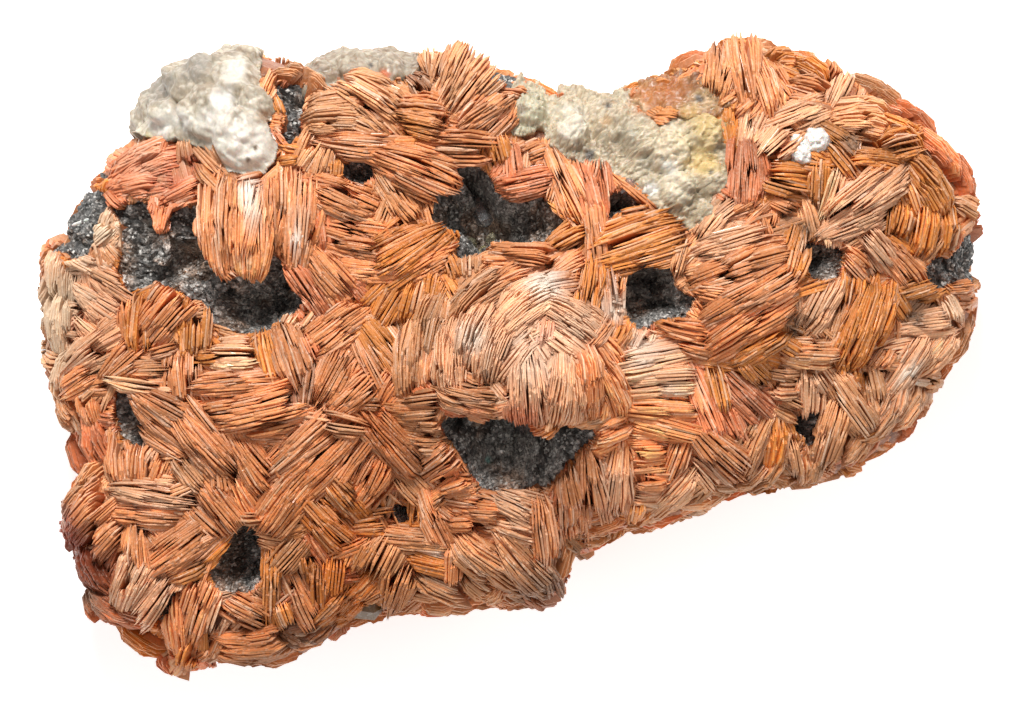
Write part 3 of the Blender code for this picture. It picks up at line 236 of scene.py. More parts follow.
# Broad painted shade and painted light on the plates' tones: factors under 1 darken the valleys and deepen their
# orange, and factors over 1 light up broad patches.
PAINTED_TONE_SHADE_AND_LIGHT = [
    (-16.0, -8.0, 6.0, (0.80, 0.60, 0.40)), (-18.0, -28.0, 8.0, (0.86, 0.64, 0.38)),
    (-27.0, -20.0, 6.5, (0.94, 0.76, 0.52)), (2.0, 2.0, 9.0, (1.0, 0.98, 0.96)),
    (18.0, -8.0, 8.0, (1.40, 1.38, 1.34)), (28.0, 10.0, 7.0, (1.10, 1.06, 1.0)),
    (-12.0, 16.0, 6.0, (0.95, 0.84, 0.70)), (-52.0, 6.0, 6.0, (0.86, 0.78, 0.72)),
    (-45.0, -34.0, 6.0, (1.15, 1.05, 1.0)), (-27.0, 17.0, 6.0, (1.08, 1.04, 1.0)),
]
# Spots on the plates: real white frosting, cream, red, orange and glossy dark red patches.
# The dark brown spots at (-33.0, -38.0), (2.5, -29.5) and (-20.0, -36.5) are painted shade along the bottom edge,
# and the one at (38.0, 13.0) is painted shade at the right pit's rim.
# The near-black spots at (37.0, 16.3), (34.8, 18.2), (35.0, 6.2), (35.6, 3.6) and (50.7, 5.2) are painted shadows
# in gaps between books.
# The small pale spots at (43.2, 21.6), (49.9, -1.7), (-56.0, -20.0) and (-9.3, -24.5) are painted glints; the one
# at (19.5, -3.5) is pale frosting and partly a painted glint.
PLATE_SPOTS_AND_PAINTED_LIGHT = [
    (-33.0, 21.6, 1.2, 0.95, (0.82, 0.77, 0.68)), (-32.8, 19.8, 0.9, 0.9, (0.80, 0.74, 0.64)),
    (-32.6, 18.2, 0.7, 0.8, (0.78, 0.70, 0.58)), (-27.5, 15.1, 0.8, 0.9, (0.84, 0.78, 0.68)),
    (-34.6, 12.5, 0.6, 0.8, (0.82, 0.74, 0.62)), (-27.0, 18.4, 1.4, 0.3, (0.80, 0.66, 0.50)),
    (-42.5, 22.5, 1.8, 0.8, (0.50, 0.095, 0.035)), (-40.2, 24.7, 1.4, 0.8, (0.48, 0.085, 0.030)),
    (-46.0, 24.0, 3.0, 0.45, (0.72, 0.44, 0.30)), (-12.5, 28.9, 2.2, 0.7, (0.74, 0.27, 0.05)),
    (3.9, 8.6, 1.9, 0.85, (0.82, 0.76, 0.66)), (12.4, 6.3, 1.5, 0.8, (0.82, 0.74, 0.62)),
    (16.0, 1.0, 2.3, 0.75, (0.84, 0.75, 0.64)), (-3.8, 2.0, 1.7, 0.75, (0.86, 0.76, 0.64)),
    (2.6, 1.0, 3.4, 0.42, (0.80, 0.62, 0.47)), (7.5, 3.2, 2.6, 0.4, (0.80, 0.60, 0.44)),
    (1.6, -7.0, 1.9, 0.85, (0.66, 0.155, 0.050)), (-3.6, -6.0, 1.5, 0.6, (0.66, 0.19, 0.07)),
    (-57.4, 7.0, 3.8, 0.6, (0.74, 0.58, 0.40)), (-58.4, 0.5, 2.8, 0.5, (0.72, 0.55, 0.37)),
    (-51.3, 16.0, 1.8, 0.7, (0.80, 0.66, 0.48)), (-55.6, -21.8, 3.0, 0.92, (0.30, 0.040, 0.016)),
    (-53.6, -25.4, 2.6, 0.92, (0.22, 0.045, 0.020)), (-52.0, -28.2, 2.4, 0.9, (0.24, 0.060, 0.026)), (-54.6, -30.5, 2.2, 0.6, (0.42, 0.30, 0.19)),
    (20.0, 33.2, 4.2, 0.85, (0.60, 0.24, 0.055)), (24.0, 31.8, 2.6, 0.5, (0.66, 0.35, 0.12)),
    (-14.0, 17.6, 2.4, 0.5, (0.62, 0.20, 0.045)), (46.5, 25.0, 3.0, 0.45, (0.60, 0.21, 0.05)),
    (43.2, 21.6, 0.8, 0.85, (0.84, 0.78, 0.68)), (49.9, -1.7, 0.8, 0.8, (0.84, 0.76, 0.64)),
    (19.5, -3.5, 1.1, 0.7, (0.82, 0.72, 0.58)), (-56.0, -20.0, 0.8, 0.8, (0.80, 0.68, 0.55)),
    (13.0, -15.5, 2.6, 0.35, (0.80, 0.62, 0.45)), (-9.3, -24.5, 0.8, 0.8, (0.82, 0.74, 0.62)),
    (-33.0, -38.0, 4.0, 0.6, (0.22, 0.085, 0.035)), (2.5, -29.5, 3.0, 0.6, (0.20, 0.075, 0.030)),
    (-20.0, -36.5, 3.4, 0.5, (0.26, 0.10, 0.042)), (38.0, 13.0, 1.6, 0.6, (0.30, 0.12, 0.05)),
    (37.0, 16.3, 1.3, 0.92, (0.030, 0.018, 0.012)), (34.8, 18.2, 1.1, 0.92, (0.030, 0.018, 0.012)),
    (35.0, 6.2, 1.1, 0.92, (0.030, 0.018, 0.012)), (35.6, 3.6, 1.0, 0.92, (0.030, 0.018, 0.012)),
    (50.7, 5.2, 1.1, 0.92, (0.035, 0.022, 0.015)), (43.0, 26.8, 1.4, 0.85, (0.10, 0.085, 0.070)),
]
RUSTY_PATCH = [
    (13.8, 32.6), (15.5, 34.0), (18.0, 35.2), (20.5, 35.8), (23.5, 35.2), (26.0, 34.0), (27.4, 32.4),
    (27.0, 30.8), (25.0, 30.0), (22.0, 30.4), (19.0, 31.0), (16.0, 31.2),
]
BOOKS = [
    (-46.5, 24.3, 14, 13, 5, 2.2, 0, -10, "R"), (-48.3, 21.5, 2, 8.5, 2.8, 1.8, 0, 0, "R"),
    (-41, 21.2, 18, 7.5, 2.4, 2, 0, 0, "R"), (-38.6, 24.4, -46, 7.5, 2.6, 2.6, 0, 0, "B"),
    (-44.4, 18.2, -92, 5.2, 2.4, 2, -0.4, 0, "R"), (-51.8, 16.2, 35, 5.5, 2.2, 1.6, 0, 0, "C"),
    (-53.5, 12.6, -28, 8, 3.6, 1.8, 0.1, 0, "C"), (-51.5, 9.8, -30, 7, 3, 1.8, 0.2, 0, "P"),
    (-57.4, 10.6, 80, 7, 4, 1.4, 0, 0, "C"), (-52.3, 7, -36, 8, 3.2, 2, 0.2, 0, "P"),
    (-53.6, 4.2, -38, 7, 3, 1.8, 0.2, 0, "P"), (-57.6, 4, 85, 8, 3.6, 1.4, 0, 0, "C"),
    (-57.2, -2, 70, 7, 3.4, 1.4, 0, 0, "C"), (-52.8, 1.3, 33, 9.5, 4.4, 2.4, 0.1, 0, "P"),
    (-54, -2, 28, 7, 3.2, 2, 0, 0, "S"), (-49.6, -0.4, 45, 7, 3.6, 2.2, 0.2, 0, "S"),
    (-36.4, 16.4, -86, 13, 4.8, 4, -0.25, 8, "S"), (-33, 16.2, -92, 13.2, 4.6, 4.4, -0.25, 0, "S"),
    (-30.8, 17.4, 84, 12, 3.4, 3.6, 0.1, 0, "S"), (-27.3, 17.3, 86, 14, 5.4, 3.2, 0.15, -10, "S"),
    (-28.4, 25.3, 5, 3.6, 2.2, 2.4, 0, 0, "O"), (-25.9, 26, 60, 5.6, 2.4, 2.2, 0, 0, "T"),
    (-24, 24.6, 80, 5.2, 2.2, 2.2, 0, 0, "T"), (-22.5, 23.7, 92, 3.2, 1.6, 2, 0, 0, "O"),
    (-23.2, 30.6, 6, 8, 5.2, 3, 0.1, 0, "B"), (-17.8, 32.2, -32, 9.5, 5.8, 3.4, 0.2, -22, "Bg"),
    (-19.5, 29.4, -15, 8, 2.6, 2.6, 0, -8, "B"), (-12.4, 34.3, -62, 4.2, 3, 1.6, 0, 0, "K"),
    (-15.3, 34.6, -50, 3.4, 2.2, 1.6, 0, 0, "B"), (-12, 30.8, -8, 7, 4.8, 3.2, 0.1, -10, "S"),
    (-9.6, 36.6, 84, 5, 3.6, 2.4, 0.2, 0, "B"), (-6.6, 34, 60, 11.5, 6.4, 3.8, 0.25, 0, "B"),
    (-3.4, 31.4, 42, 9, 3.6, 3.2, 0.15, 0, "S"), (-2.6, 29, 48, 6.5, 2.4, 2.6, 0, 0, "S"),
    (-17.8, 27.1, -3, 10, 3, 2.8, 0, 0, "S"), (-8.4, 27.2, -5, 10.5, 3.2, 3, 0.1, 0, "S"),
    (-12.8, 24.2, -20, 13, 5.4, 3.6, 0.15, 0, "S"), (-15.4, 21, -57, 8.5, 3, 2.6, 0, 0, "B"),
    (-21, 20, -22, 9.5, 4.8, 3, 0.1, 0, "S"), (-20.2, 16.6, -14, 9.5, 3.4, 2.6, 0, 0, "S"),
    (-19.6, 14, -11, 10, 2.8, 2.4, 0, 0, "S"), (-17.8, 11.6, -4, 9.5, 2.8, 2.4, 0, 0, "S"),
    (-12.4, 14, 30, 11.5, 5.2, 3.6, -0.1, 0, "O"), (-14.8, 16.4, 38, 5.5, 2, 2.4, 0, 0, "S"),
    (-13, 18.6, -50, 5, 1.6, 3.2, 0, 0, "T"), (-10.8, 11.6, 28, 8, 2.6, 2.6, 0, 0, "S"),
    (-7.7, 11.8, -72, 4.6, 2.2, 2.2, 0, 0, "O"), (-5.4, 11.4, 92, 4.4, 2.8, 2, 0, 0, "B"),
    (-23.6, 11.2, -50, 8.5, 4, 2.8, 0, 0, "S"), (-25.6, 8.4, -55, 8.5, 2.8, 2.6, 0, 0, "R"),
    (-22.6, 7.6, -48, 6, 2.8, 2.4, 0, 0, "S"), (-27.3, 5, 58, 4.2, 2.4, 2.4, 0, 0, "P"),
    (-28.4, 1.2, -72, 8, 3.8, 2.8, 0, 0, "S"), (-25.6, 1.4, -66, 4.5, 1.6, 2, 0, 0, "R"),
    (-22.6, 3.6, 36, 9, 4.6, 3, 0, 0, "Ss"), (-18, 5.2, 15, 5, 2, 2, 0, 0, "T"),
    (-15, 7.2, 60, 7.5, 3.2, 2.8, 0, 0, "O"), (-12.3, 7.2, 74, 6.5, 3, 2.4, 0, 0, "O"),
    (-9.6, 8.4, 76, 5, 2.6, 2, 0, 0, "O"), (-16.5, 1.6, -55, 8.5, 4.6, 2.6, 0, 0, "O"),
    (-18.2, -1.4, -65, 9.5, 2.6, 2.4, 0, 0, "S"), (-22, -1.4, 62, 8.5, 4.2, 3, 0.1, 0, "S"),
    (-25.2, -2.4, 82, 6, 2, 1.8, 0, 0, "K"), (-15.4, -3.8, 58, 5.5, 2.2, 2.4, 0, 0, "S"),
    (-20.9, -5.2, 40, 8, 3.4, 3.2, 0.1, 0, "S"), (-23.5, -7.9, -10, 9, 1.4, 3.8, 0, 0, "P"),
    (-27.2, -11.2, 42, 13, 4.2, 2.8, 0, 0, "S"), (-23.4, -12.8, 45, 13, 4.6, 3, 0, 0, "S"),
    (-19.6, -12.2, 56, 9.5, 3.8, 2.8, 0, 0, "S"), (-12.4, -0.6, 88, 9.5, 3.6, 2.8, 0, -12, "Bs"),
    (-9.8, 3.4, 78, 9, 3.4, 2.6, 0, -18, "B"), (-9.2, -1.4, 92, 6, 3, 2.2, 0, 0, "S"),
    (-6.6, 0.8, 88, 10.5, 3.4, 3.2, 0.1, -8, "Pf"), (-3.2, 2, 76, 10.5, 4, 3.4, 0.1, -20, "Pf"),
    (-3.4, 7.4, 42, 9, 3.8, 2.6, 0, -20, "Bf"), (1.2, 4.8, 45, 9.5, 4.4, 3, 0, -30, "Pf"),
    (3.4, 8, 18, 8, 3.6, 2.2, 0, -25, "Pf"), (0.8, 10.4, 25, 6, 2.6, 2, 0, 0, "S"),
    (7.6, 4.4, -28, 9.5, 4.4, 3, 0, -20, "Pf"), (2.2, -3.8, -88, 9, 4.4, 3.6, 0.1, 0, "Pf"),
    (5.7, -3.6, -94, 9.4, 4.2, 3.6, 0.1, 0, "Pf"), (8.8, -3.6, -78, 9.6, 3.6, 3.2, 0, 8, "Sf"),
    (11.2, -2.2, -62, 10, 4, 2.8, 0, 8, "Sf"), (11.8, 1.6, -42, 6, 2.8, 2.2, 0, 0, "S"),
    (-4.6, -4.4, -8, 8.6, 3.8, 2.8, 0, 0, "Bf"), (-12.2, -6.4, 2, 8.5, 3.8, 2.6, 0.1, 0, "B"),
    (-11.8, -9.8, -8, 8, 3.6, 2.4, 0, 0, "B"), (-14.9, -10.6, -50, 11, 4.4, 3, 0, 0, "Ss"),
    (-9.4, -12.6, 42, 6, 3.8, 2.6, 0.1, 0, "S"), (-7.6, -15.4, 24, 6.5, 3.4, 2.6, 0.1, 0, "S"),
    (12.2, -9, 20, 6.5, 3.2, 2.6, 0.1, 0, "S"), (7.4, -15.2, -72, 7.5, 3.4, 3, 0.2, 0, "S"),
    (10.2, -15.4, -82, 10, 3.6, 3.2, 0.15, 0, "S"), (13.2, -14.8, -92, 10, 3.4, 3, 0.1, 0, "S"),
    (0.8, -18.2, -22, 9.5, 3.6, 3, 0, 0, "P"), (-4.4, -18.4, -5, 9, 2.8, 2.4, 0, 0, "S"),
    (-4.4, -20.6, 0, 8.5, 2.6, 2.4, 0, 0, "S"), (0.2, -21, -12, 7, 2.6, 2.6, 0, 0, "P"),
    (-2.4, -25.4, -40, 11, 4.4, 3, 0.1, 0, "B"), (1.4, -25.6, -52, 11, 4.4, 3, 0.1, 0, "B"),
    (3.3, -21.2, -82, 10.5, 1.6, 4, 0, 0, "S"), (4.2, -27.4, -74, 6.5, 2, 2.4, 0, 0, "K"),
    (6.4, -20.2, -80, 9, 2.8, 2.6, 0, 0, "S"), (7.6, -22.6, -58, 5, 2.4, 2, 0, 0, "B"),
    (11.6, -20.4, 12, 5.5, 2.2, 1.6, 0, 0, "S"), (-5, -27.8, -42, 6, 2, 2, 0, 0, "T"),
    (-2.8, -29.2, 60, 4, 3.2, 1.8, 0, 0, "T"), (-7.4, -25.6, 84, 5.5, 1.8, 2.6, 0, 0, "S"),
    (-9.4, -28.6, -28, 6.5, 2.4, 2.6, 0, 0, "P"), (-9.2, -30.8, 18, 4.4, 2.2, 1.8, 0, 0, "P"),
    (-11.4, -23.2, -6, 9.5, 2.8, 2.6, 0, 0, "B"), (-10.4, -25.6, -6, 7, 2.2, 2.2, 0, 0, "O"),
    (-16.8, -26, 64, 7, 3.6, 3.2, 0, 0, "P"), (-19.4, -25.2, 62, 5.5, 2.2, 2.6, 0, 0, "T"),
    (-14.6, -28.6, 72, 7.5, 4, 3, 0.1, 0, "T"), (-9.6, -19.8, -66, 8, 2.4, 2.8, 0, 0, "S"),
    (-11.9, -18.6, 86, 6, 1.8, 2, 0, 0, "O"), (-8.4, -17, 36, 6, 2.2, 2.2, 0, 0, "S"),
    (-14, -15.8, -52, 7, 3.4, 2.2, 0, 0, "B"), (-18.4, -15.8, 60, 8.5, 3.8, 2.8, 0, 0, "S"),
    (-17.8, -20.8, 4, 6.5, 2.6, 2.2, 0, 0, "O"), (-21.4, -23.6, 18, 7.5, 2, 2.6, 0, 0, "S"),
    (-24, -20.2, -46, 9.5, 3.2, 3, 0, 0, "O"), (-21, -17.6, -52, 8, 2.8, 3, 0, 0, "O"),
    (-28.4, -17.4, 52, 11, 4.6, 3, 0, 0, "S"), (-31.2, -18.8, 55, 8.5, 3, 2.6, 0, 0, "S"),
    (-28.5, -20.5, 35, 5, 1.2, 2, 0, 0, "O"), (-28.2, -24.4, 50, 7.5, 3.8, 2.4, 0, 0, "B"),
    (-30.4, -27.6, 86, 9.5, 2, 2.8, 0, 0, "O"), (-24.4, -28.2, 88, 6.5, 2.2, 2.8, 0, 0, "O"),
    (-22.6, -27.6, 84, 6, 2.6, 2.6, 0, 0, "O"), (-27.2, -29.6, -66, 8.5, 2.6, 2.4, 0, 0, "S"),
    (-23.8, -31.8, 50, 6.5, 2.6, 2, 0, 0, "O"), (-28.8, -32.8, -70, 5.5, 2.6, 2.2, 0, 0, "O"),
    (-26, -35, 38, 6, 2.2, 1.6, 0, 0, "K"), (-33.4, -35.6, -5, 10.5, 4.8, 3, 0, 0, "S"),
    (-33.8, -32, -30, 7.5, 3.4, 2.6, 0, 0, "S"), (-31.8, -29.8, -32, 4.5, 2.2, 1.8, 0, 0, "B"),
    (-37.4, -32.6, 70, 6.5, 2.2, 2.8, 0, 0, "P"), (-39.8, -31.8, 72, 9.5, 3.4, 3, 0, 0, "S"),
    (-42.2, -33.8, 82, 9.5, 2.8, 2.6, 0, 0, "S"), (-41.2, -37.6, 64, 4.5, 2.6, 2, 0, 0, "O"),
    (-38.6, -36.8, 76, 4, 2, 1.8, 0, 0, "S"), (-43.8, -38.4, 66, 4, 2.2, 1.6, 0, 0, "R"),
    (-46.6, -35.2, -45, 8, 2.8, 2.4, 0, 0, "O"), (-44.4, -29.8, 55, 9, 3.4, 3.2, 0, 0, "Ps"),
    (-47.8, -28.6, 62, 8, 4.4, 3, 0, 0, "P"), (-49.8, -31.6, -10, 8.5, 3, 2, 0, 0, "R"),
    (-53, -31.4, -30, 4.5, 2.6, 1.4, 0, 0, "R"), (-55.4, -22, -62, 6, 3, 1.8, 0, 0, "Rg"),
    (-52.8, -26.4, -60, 6.5, 3.6, 2.2, 0, 0, "Rg"), (-53.6, -20.4, 38, 9.5, 4.2, 3.2, 0.1, 0, "S"),
    (-50.6, -22.6, 42, 7, 2.6, 2.8, 0, 0, "S"), (-54.4, -17.8, 34, 7, 2.8, 2.4, 0, 0, "B"),
    (-53.2, -15.6, 42, 5, 2, 2.2, 0, 0, "T"), (-46, -17.3, -8, 11.5, 2.6, 3.2, 0, 0, "Pg"),
    (-42.2, -17, 18, 5.5, 2.4, 2.6, 0, 0, "T"), (-46, -19.8, -4, 9, 2.8, 2.8, 0, 0, "S"),
    (-47.4, -23.6, -90, 7, 3.4, 2.8, 0.3, 0, "S"), (-44.6, -22.8, -48, 5.5, 2.4, 2.2, 0, 0, "S"),
    (-42, -23.8, 36, 10, 4.8, 3, 0, 0, "S"), (-41, -26.8, 22, 6, 1.6, 2.4, 0, 0, "O"),
    (-39.2, -20.6, -46, 6.5, 2.4, 2.4, 0, 0, "S"), (-36.8, -18.8, -50, 9.5, 3.6, 3, 0, 0, "S"),
    (-33.4, -17.2, -60, 6.5, 3.4, 2.6, 0, 0, "S"), (-33.4, -19.5, -3, 5, 0.8, 3, 0, 0, "P"),
    (-52.6, -9.6, -68, 8.5, 3.4, 2.4, 0, 0, "R"), (-53.2, -6.6, -76, 5.5, 2.6, 2, 0, 0, "S"),
    (-56.4, -6.4, -40, 5.5, 3.2, 1.4, 0, 0, "Bs"), (-54.8, -12.2, -72, 6, 2.6, 1.8, 0, 0, "R"),
    (-49.4, -13, -80, 6.5, 2.8, 2.4, 0, 0, "S"), (-46.8, -13.6, 86, 6.5, 2.4, 2.6, 0, 0, "S"),
    (-44.6, -14, 68, 5.5, 2.4, 2.2, 0, 0, "S"), (-43.2, -12, 5, 4.5, 1.6, 2.2, 0, 0, "T"),
    (-43.2, -7.6, -33, 11, 4.4, 3.6, 0.1, 0, "S"), (-43.8, -10, -28, 9, 2.6, 2.8, 0, 0, "S"),
    (-45.4, -1.4, 0, 5.5, 2.6, 2.4, 0, 0, "B"), (-46.4, -3.4, -6, 7, 2, 2.8, 0, 0, "P"),
    (-41, -2.4, 90, 6.5, 3.8, 2.6, 0, 0, "S"), (-39.8, 3.4, 88, 7.5, 3.2, 2.8, 0, 0, "O"),
    (-44.2, 5.4, 48, 9.5, 5, 3, 0.1, 0, "S"), (-44.6, 1.4, 12, 5.5, 2.4, 2, 0, 0, "S"),
    (-47.2, 4.4, 92, 7.5, 2.4, 2.8, 0, 0, "O"), (-48.9, 4.8, 92, 6, 1.8, 2.2, 0, 0, "S"),
    (-35, 0.4, -2, 7.5, 4.2, 2.6, 0, 0, "Pg"), (-33.8, -3, 4, 12.5, 3, 2.8, 0, 0, "S"),
    (-33, -6.2, 11, 14, 4.6, 3.8, 0, 6, "S"), (-30.8, 1.2, -73, 7.5, 2.4, 2.4, 0, 0, "O"),
    (-37.8, -11.4, -48, 13, 4.2, 3.2, 0, 0, "S"), (-41, -13.8, -50, 7.5, 2.2, 2.4, 0, 0, "B"),
    (-33, -12.4, -56, 9, 3.4, 2.8, 0, 0, "S"), (-2.2, 26.8, -72, 6.5, 2.6, 2.6, 0, 0, "O"),
    (0.2, 24.8, -82, 5.5, 2.4, 2.4, 0, 0, "R"), (1, 22, 14, 8, 3.2, 3.2, -0.1, 0, "R"),
    (2.6, 26, 20, 4, 2.2, 2, 0, 0, "S"), (6.6, 22.4, -66, 10.5, 3, 3, 0, 0, "S"),
    (9.2, 21.8, -74, 9, 2.8, 2.8, 0, 0, "R"), (11.2, 22.6, -84, 7, 2.2, 2.6, 0, 0, "R"),
    (10.4, 15, -84, 10.5, 2.6, 2.8, 0, 0, "S"), (6.4, 14.6, 34, 6.5, 2.4, 2.6, 0, 0, "O"),
    (0.8, 12.7, -8, 9.5, 2.2, 2.8, 0, 0, "S"), (7.4, 11.6, 32, 5.5, 2.4, 2.4, 0, 0, "S"),
    (6.8, 9.4, 12, 6, 2.2, 2.2, 0, 0, "S"), (9.4, 8, 78, 8.5, 3, 2.6, 0, 0, "Of"),
    (12.3, 8.4, 93, 7.5, 2.8, 2.8, 0, 0, "Sg"), (10.6, 3.6, 52, 5.5, 2.6, 2.2, 0, 0, "Sf"),
    (13.2, 2.6, 62, 5.5, 2.6, 2.2, 0, 0, "O"), (16.4, 14.8, 20, 12, 6.4, 3.8, 0, 0, "O"),
    (21.2, 12.8, 76, 5.5, 1.4, 2.4, 0, 0, "T"), (16.2, 2.9, 66, 4.5, 3, 2, 0, 0, "P"),
    (20.8, 4.3, -8, 7, 2.2, 2.2, 0, 0, "S"), (23.2, 2.2, -14, 6.5, 3.4, 2.6, 0, 0, "S"),
    (17.6, -0.4, 8, 11, 3.4, 2.8, 0, 0, "P"), (17.8, -3.2, 4, 11, 3.2, 3, 0, 0, "Pg"),
    (18.4, -6, -2, 10, 3, 2.8, 0, 0, "S"), (19.4, -8.6, -12, 10, 2.6, 2.6, 0, 0, "S"),
    (17.2, -11.6, 0, 5.4, 3, 2.4, 0, 0, "S"), (17.2, -14.8, 0, 5.4, 3, 2.4, 0, 0, "S"),
    (24.4, -5.4, -68, 10.5, 3.2, 2.8, 0, 0, "R"), (26, -3.2, -78, 7.5, 1.8, 3.2, 0, 0, "O"),
    (26, -11.2, -44, 10, 3.6, 3.2, 0, 0, "S"), (23.8, -14.4, -50, 6, 2.6, 2.4, 0, 0, "P"),
    (20.6, -13.2, 72, 6.5, 2.4, 2.6, 0, 0, "S"), (19.8, -17.2, 50, 8, 2.4, 2.6, 0, 0, "P"),
    (22.8, -16.6, 45, 5.5, 2.4, 2, 0, 0, "B"), (15.4, -18.8, 88, 4, 2, 2, 0, 0, "O"),
    (26.8, -15.2, -38, 5, 2, 1.8, 0, 0, "B"), (29.4, 23.8, 91, 9, 3.8, 2.8, 0, 0, "R"),
    (26.4, 36.2, 84, 9, 3.6, 2.8, 0.1, 0, "S"), (29.2, 35.6, 96, 10.5, 3.4, 3, 0.1, 0, "S"),
    (31.8, 34.6, 102, 9.5, 2.6, 2.8, 0, 0, "S"), (33.6, 37.6, 28, 4.5, 2.2, 2, 0, 0, "O"),
    (22.2, 37.2, 24, 5.5, 2, 1.6, 0, 0, "R"), (36.8, 34.2, -8, 6.5, 2, 2.4, 0, 0, "S"),
    (36.8, 32.4, -10, 6.5, 1.8, 2.4, 0, 0, "S"), (37.8, 36.4, -48, 5, 2.6, 2, 0, 0, "O"),
    (40.4, 36, 80, 4, 2.2, 1.8, 0, 0, "B"), (41.2, 33.6, 62, 6.8, 1.8, 3.2, 0, 0, "P"),
    (35.2, 30.4, 20, 9, 3.4, 2.6, 0, 0, "P"), (33.4, 27, 42, 7.5, 4.6, 2.8, 0, 0, "P"),
    (43.4, 30.2, 5, 8, 4.4, 3, 0.1, 0, "T"), (46, 33.6, -26, 8.5, 2.6, 2, 0, 0, "B"),
    (50.2, 30.4, -32, 8, 2.8, 2.2, 0, 0, "R"), (48.6, 28.8, -28, 7.5, 2, 2.4, 0, 0, "O"),
    (47.4, 26.2, 22, 7, 3, 3.2, 0, 0, "O"), (41.8, 25.4, -52, 6, 2.8, 2.6, 0, 0, "O"),
    (34.7, 22.4, -8, 7.2, 4.4, 2.8, 0, 0, "O"), (34.8, 19.4, -20, 4, 2, 2, 0, 0, "S"),
    (39, 21.8, 85, 7, 2.2, 2.6, 0, 0, "O"), (41, 22.2, 72, 6, 2.2, 2.8, 0, 0, "P"),
    (44.8, 20.6, 34, 11.5, 4.6, 3.6, 0, 0, "P"), (42.6, 17, 24, 8.5, 2.4, 2.8, 0, 0, "P"),
    (52.2, 22.4, -54, 9, 3.8, 2.8, 0, 0, "O"), (54, 26, -46, 8, 2.6, 2, 0, 0, "R"),
    (56.8, 23.8, -72, 7.5, 2.8, 1.8, 0, 0, "R"), (48.8, 17.6, 80, 5, 2.8, 2.4, 0, 0, "O"),
    (52, 16.4, 79, 7, 3.2, 2.8, 0, 0, "O"), (54.8, 16.2, 88, 6.5, 2.6, 2.4, 0, 0, "O"),
    (57.4, 19.4, -15, 4, 2.6, 1.6, 0, 0, "T"), (46.4, 13.8, -50, 8.5, 2.6, 2.8, 0, 0, "P"),
    (49.2, 11.8, -50, 7.5, 2.8, 2.8, 0, 0, "S"), (43.4, 12, -38, 5.5, 2.6, 2.6, 0, 0, "S"),
    (50.8, 8.8, 18, 6.5, 3.4, 2.4, 0, 0, "Os"), (56.4, 9, 4, 4.5, 1.6, 1.6, 0, 0, "S"),
    (55.6, 6.4, -64, 5, 2.4, 1.8, 0, 0, "C"), (51.8, 4.2, 6, 8, 3.4, 1.8, 0, 0, "P"),
    (53.6, 0.6, 44, 8, 3.2, 1.8, 0, 0, "P"), (49.8, -1.2, 52, 9, 3.2, 2.2, 0, 0, "P"),
    (47.8, -5.8, 58, 9, 3, 2.2, 0, 0, "P"), (50.6, -5.6, 52, 7, 2.4, 1.6, 0, 0, "P"),
    (43.2, -6, -58, 9.5, 3.4, 3, 0, 0, "T"), (45.6, -3.2, -76, 5.5, 2.2, 2.4, 0, 0, "T"),
    (46.9, 0.2, 50, 4, 2, 2, 0, 0, "S"), (40.4, -9.8, 72, 9.5, 3.2, 2.8, 0, 0, "T"),
    (43.4, -11.2, 55, 5.5, 3, 1.8, 0, 0, "B"), (37.4, -3.8, -86, 7.5, 2, 2.8, 0, 0, "P"),
    (39.4, -2.6, -60, 4, 1.8, 2.2, 0, 0, "P"), (37.9, 1, -4, 8, 3.6, 2.6, 0, 0, "T"),
    (34.4, 2, -30, 4.5, 2, 2.2, 0, 0, "O"), (44, 4.6, 66, 11.5, 4, 3.2, 0, 0, "O"),
    (46.6, 5.8, 72, 8.5, 2.6, 2.8, 0, 0, "O"), (43.4, 8.2, 76, 6, 2.2, 2.4, 0, 0, "O"),
    (42.3, -1.4, 88, 4.8, 2, 2.6, 0, 0, "O"), (38.8, 6.8, 58, 8.5, 3.6, 2.8, 0, 0, "P"),
    (38.6, 9.2, 22, 6.5, 2.2, 2.4, 0, 0, "O"), (27.6, 14.2, 14, 12.5, 3.4, 3, 0, 0, "P"),
    (28.8, 11.2, 20, 13.5, 3.8, 3.6, 0, 0, "S"), (29.6, 7.8, 27, 13.5, 4, 4, 0, 0, "S"),
    (29.6, 4.4, 32, 12.5, 4, 3.8, 0, 0, "S"), (30.4, 1.8, 33, 9, 2.8, 3, 0, 0, "O"),
    (35.6, 13.2, 68, 8.5, 3, 3, 0, 0, "O"), (30.6, -1.4, -50, 6.5, 3.6, 2.4, 0, 0, "O"),
    (34.6, -1.8, -12, 4.5, 2.4, 2, 0, 0, "B"), (34.4, -3.6, -6, 4.5, 1.6, 2.2, 0, 0, "P"),
    (34.4, -5.7, -26, 6.5, 2.4, 2.6, 0, 0, "T"), (29.2, -4.4, -44, 9.5, 3.6, 2.8, 0, 0, "R"),
    (30.4, -10.8, 70, 10.5, 3.4, 2.6, 0, 0, "B"), (28.4, -8.6, -62, 7.5, 2.2, 2.4, 0, 0, "R"),
    (33.1, -9.2, 86, 8, 2.4, 2.6, 0, 0, "O"), (35.7, -12.6, -76, 7.5, 2.6, 2.4, 0, 0, "T"),
    (31.8, -14.4, 62, 6.5, 2.6, 2.2, 0, 0, "B"), (34.4, -14.6, -40, 4, 2.2, 1.8, 0, 0, "T"),
    (38.2, -13.4, 85, 4, 2, 1.8, 0, 0, "B"),
    (-4.4, 2.4, 72, 8.0, 2.8, 3.6, 0.05, -20, "Pf"), (-2.2, 0.2, 76, 7.0, 3.2, 3.4, 0.1, 0, "Pf"),
]


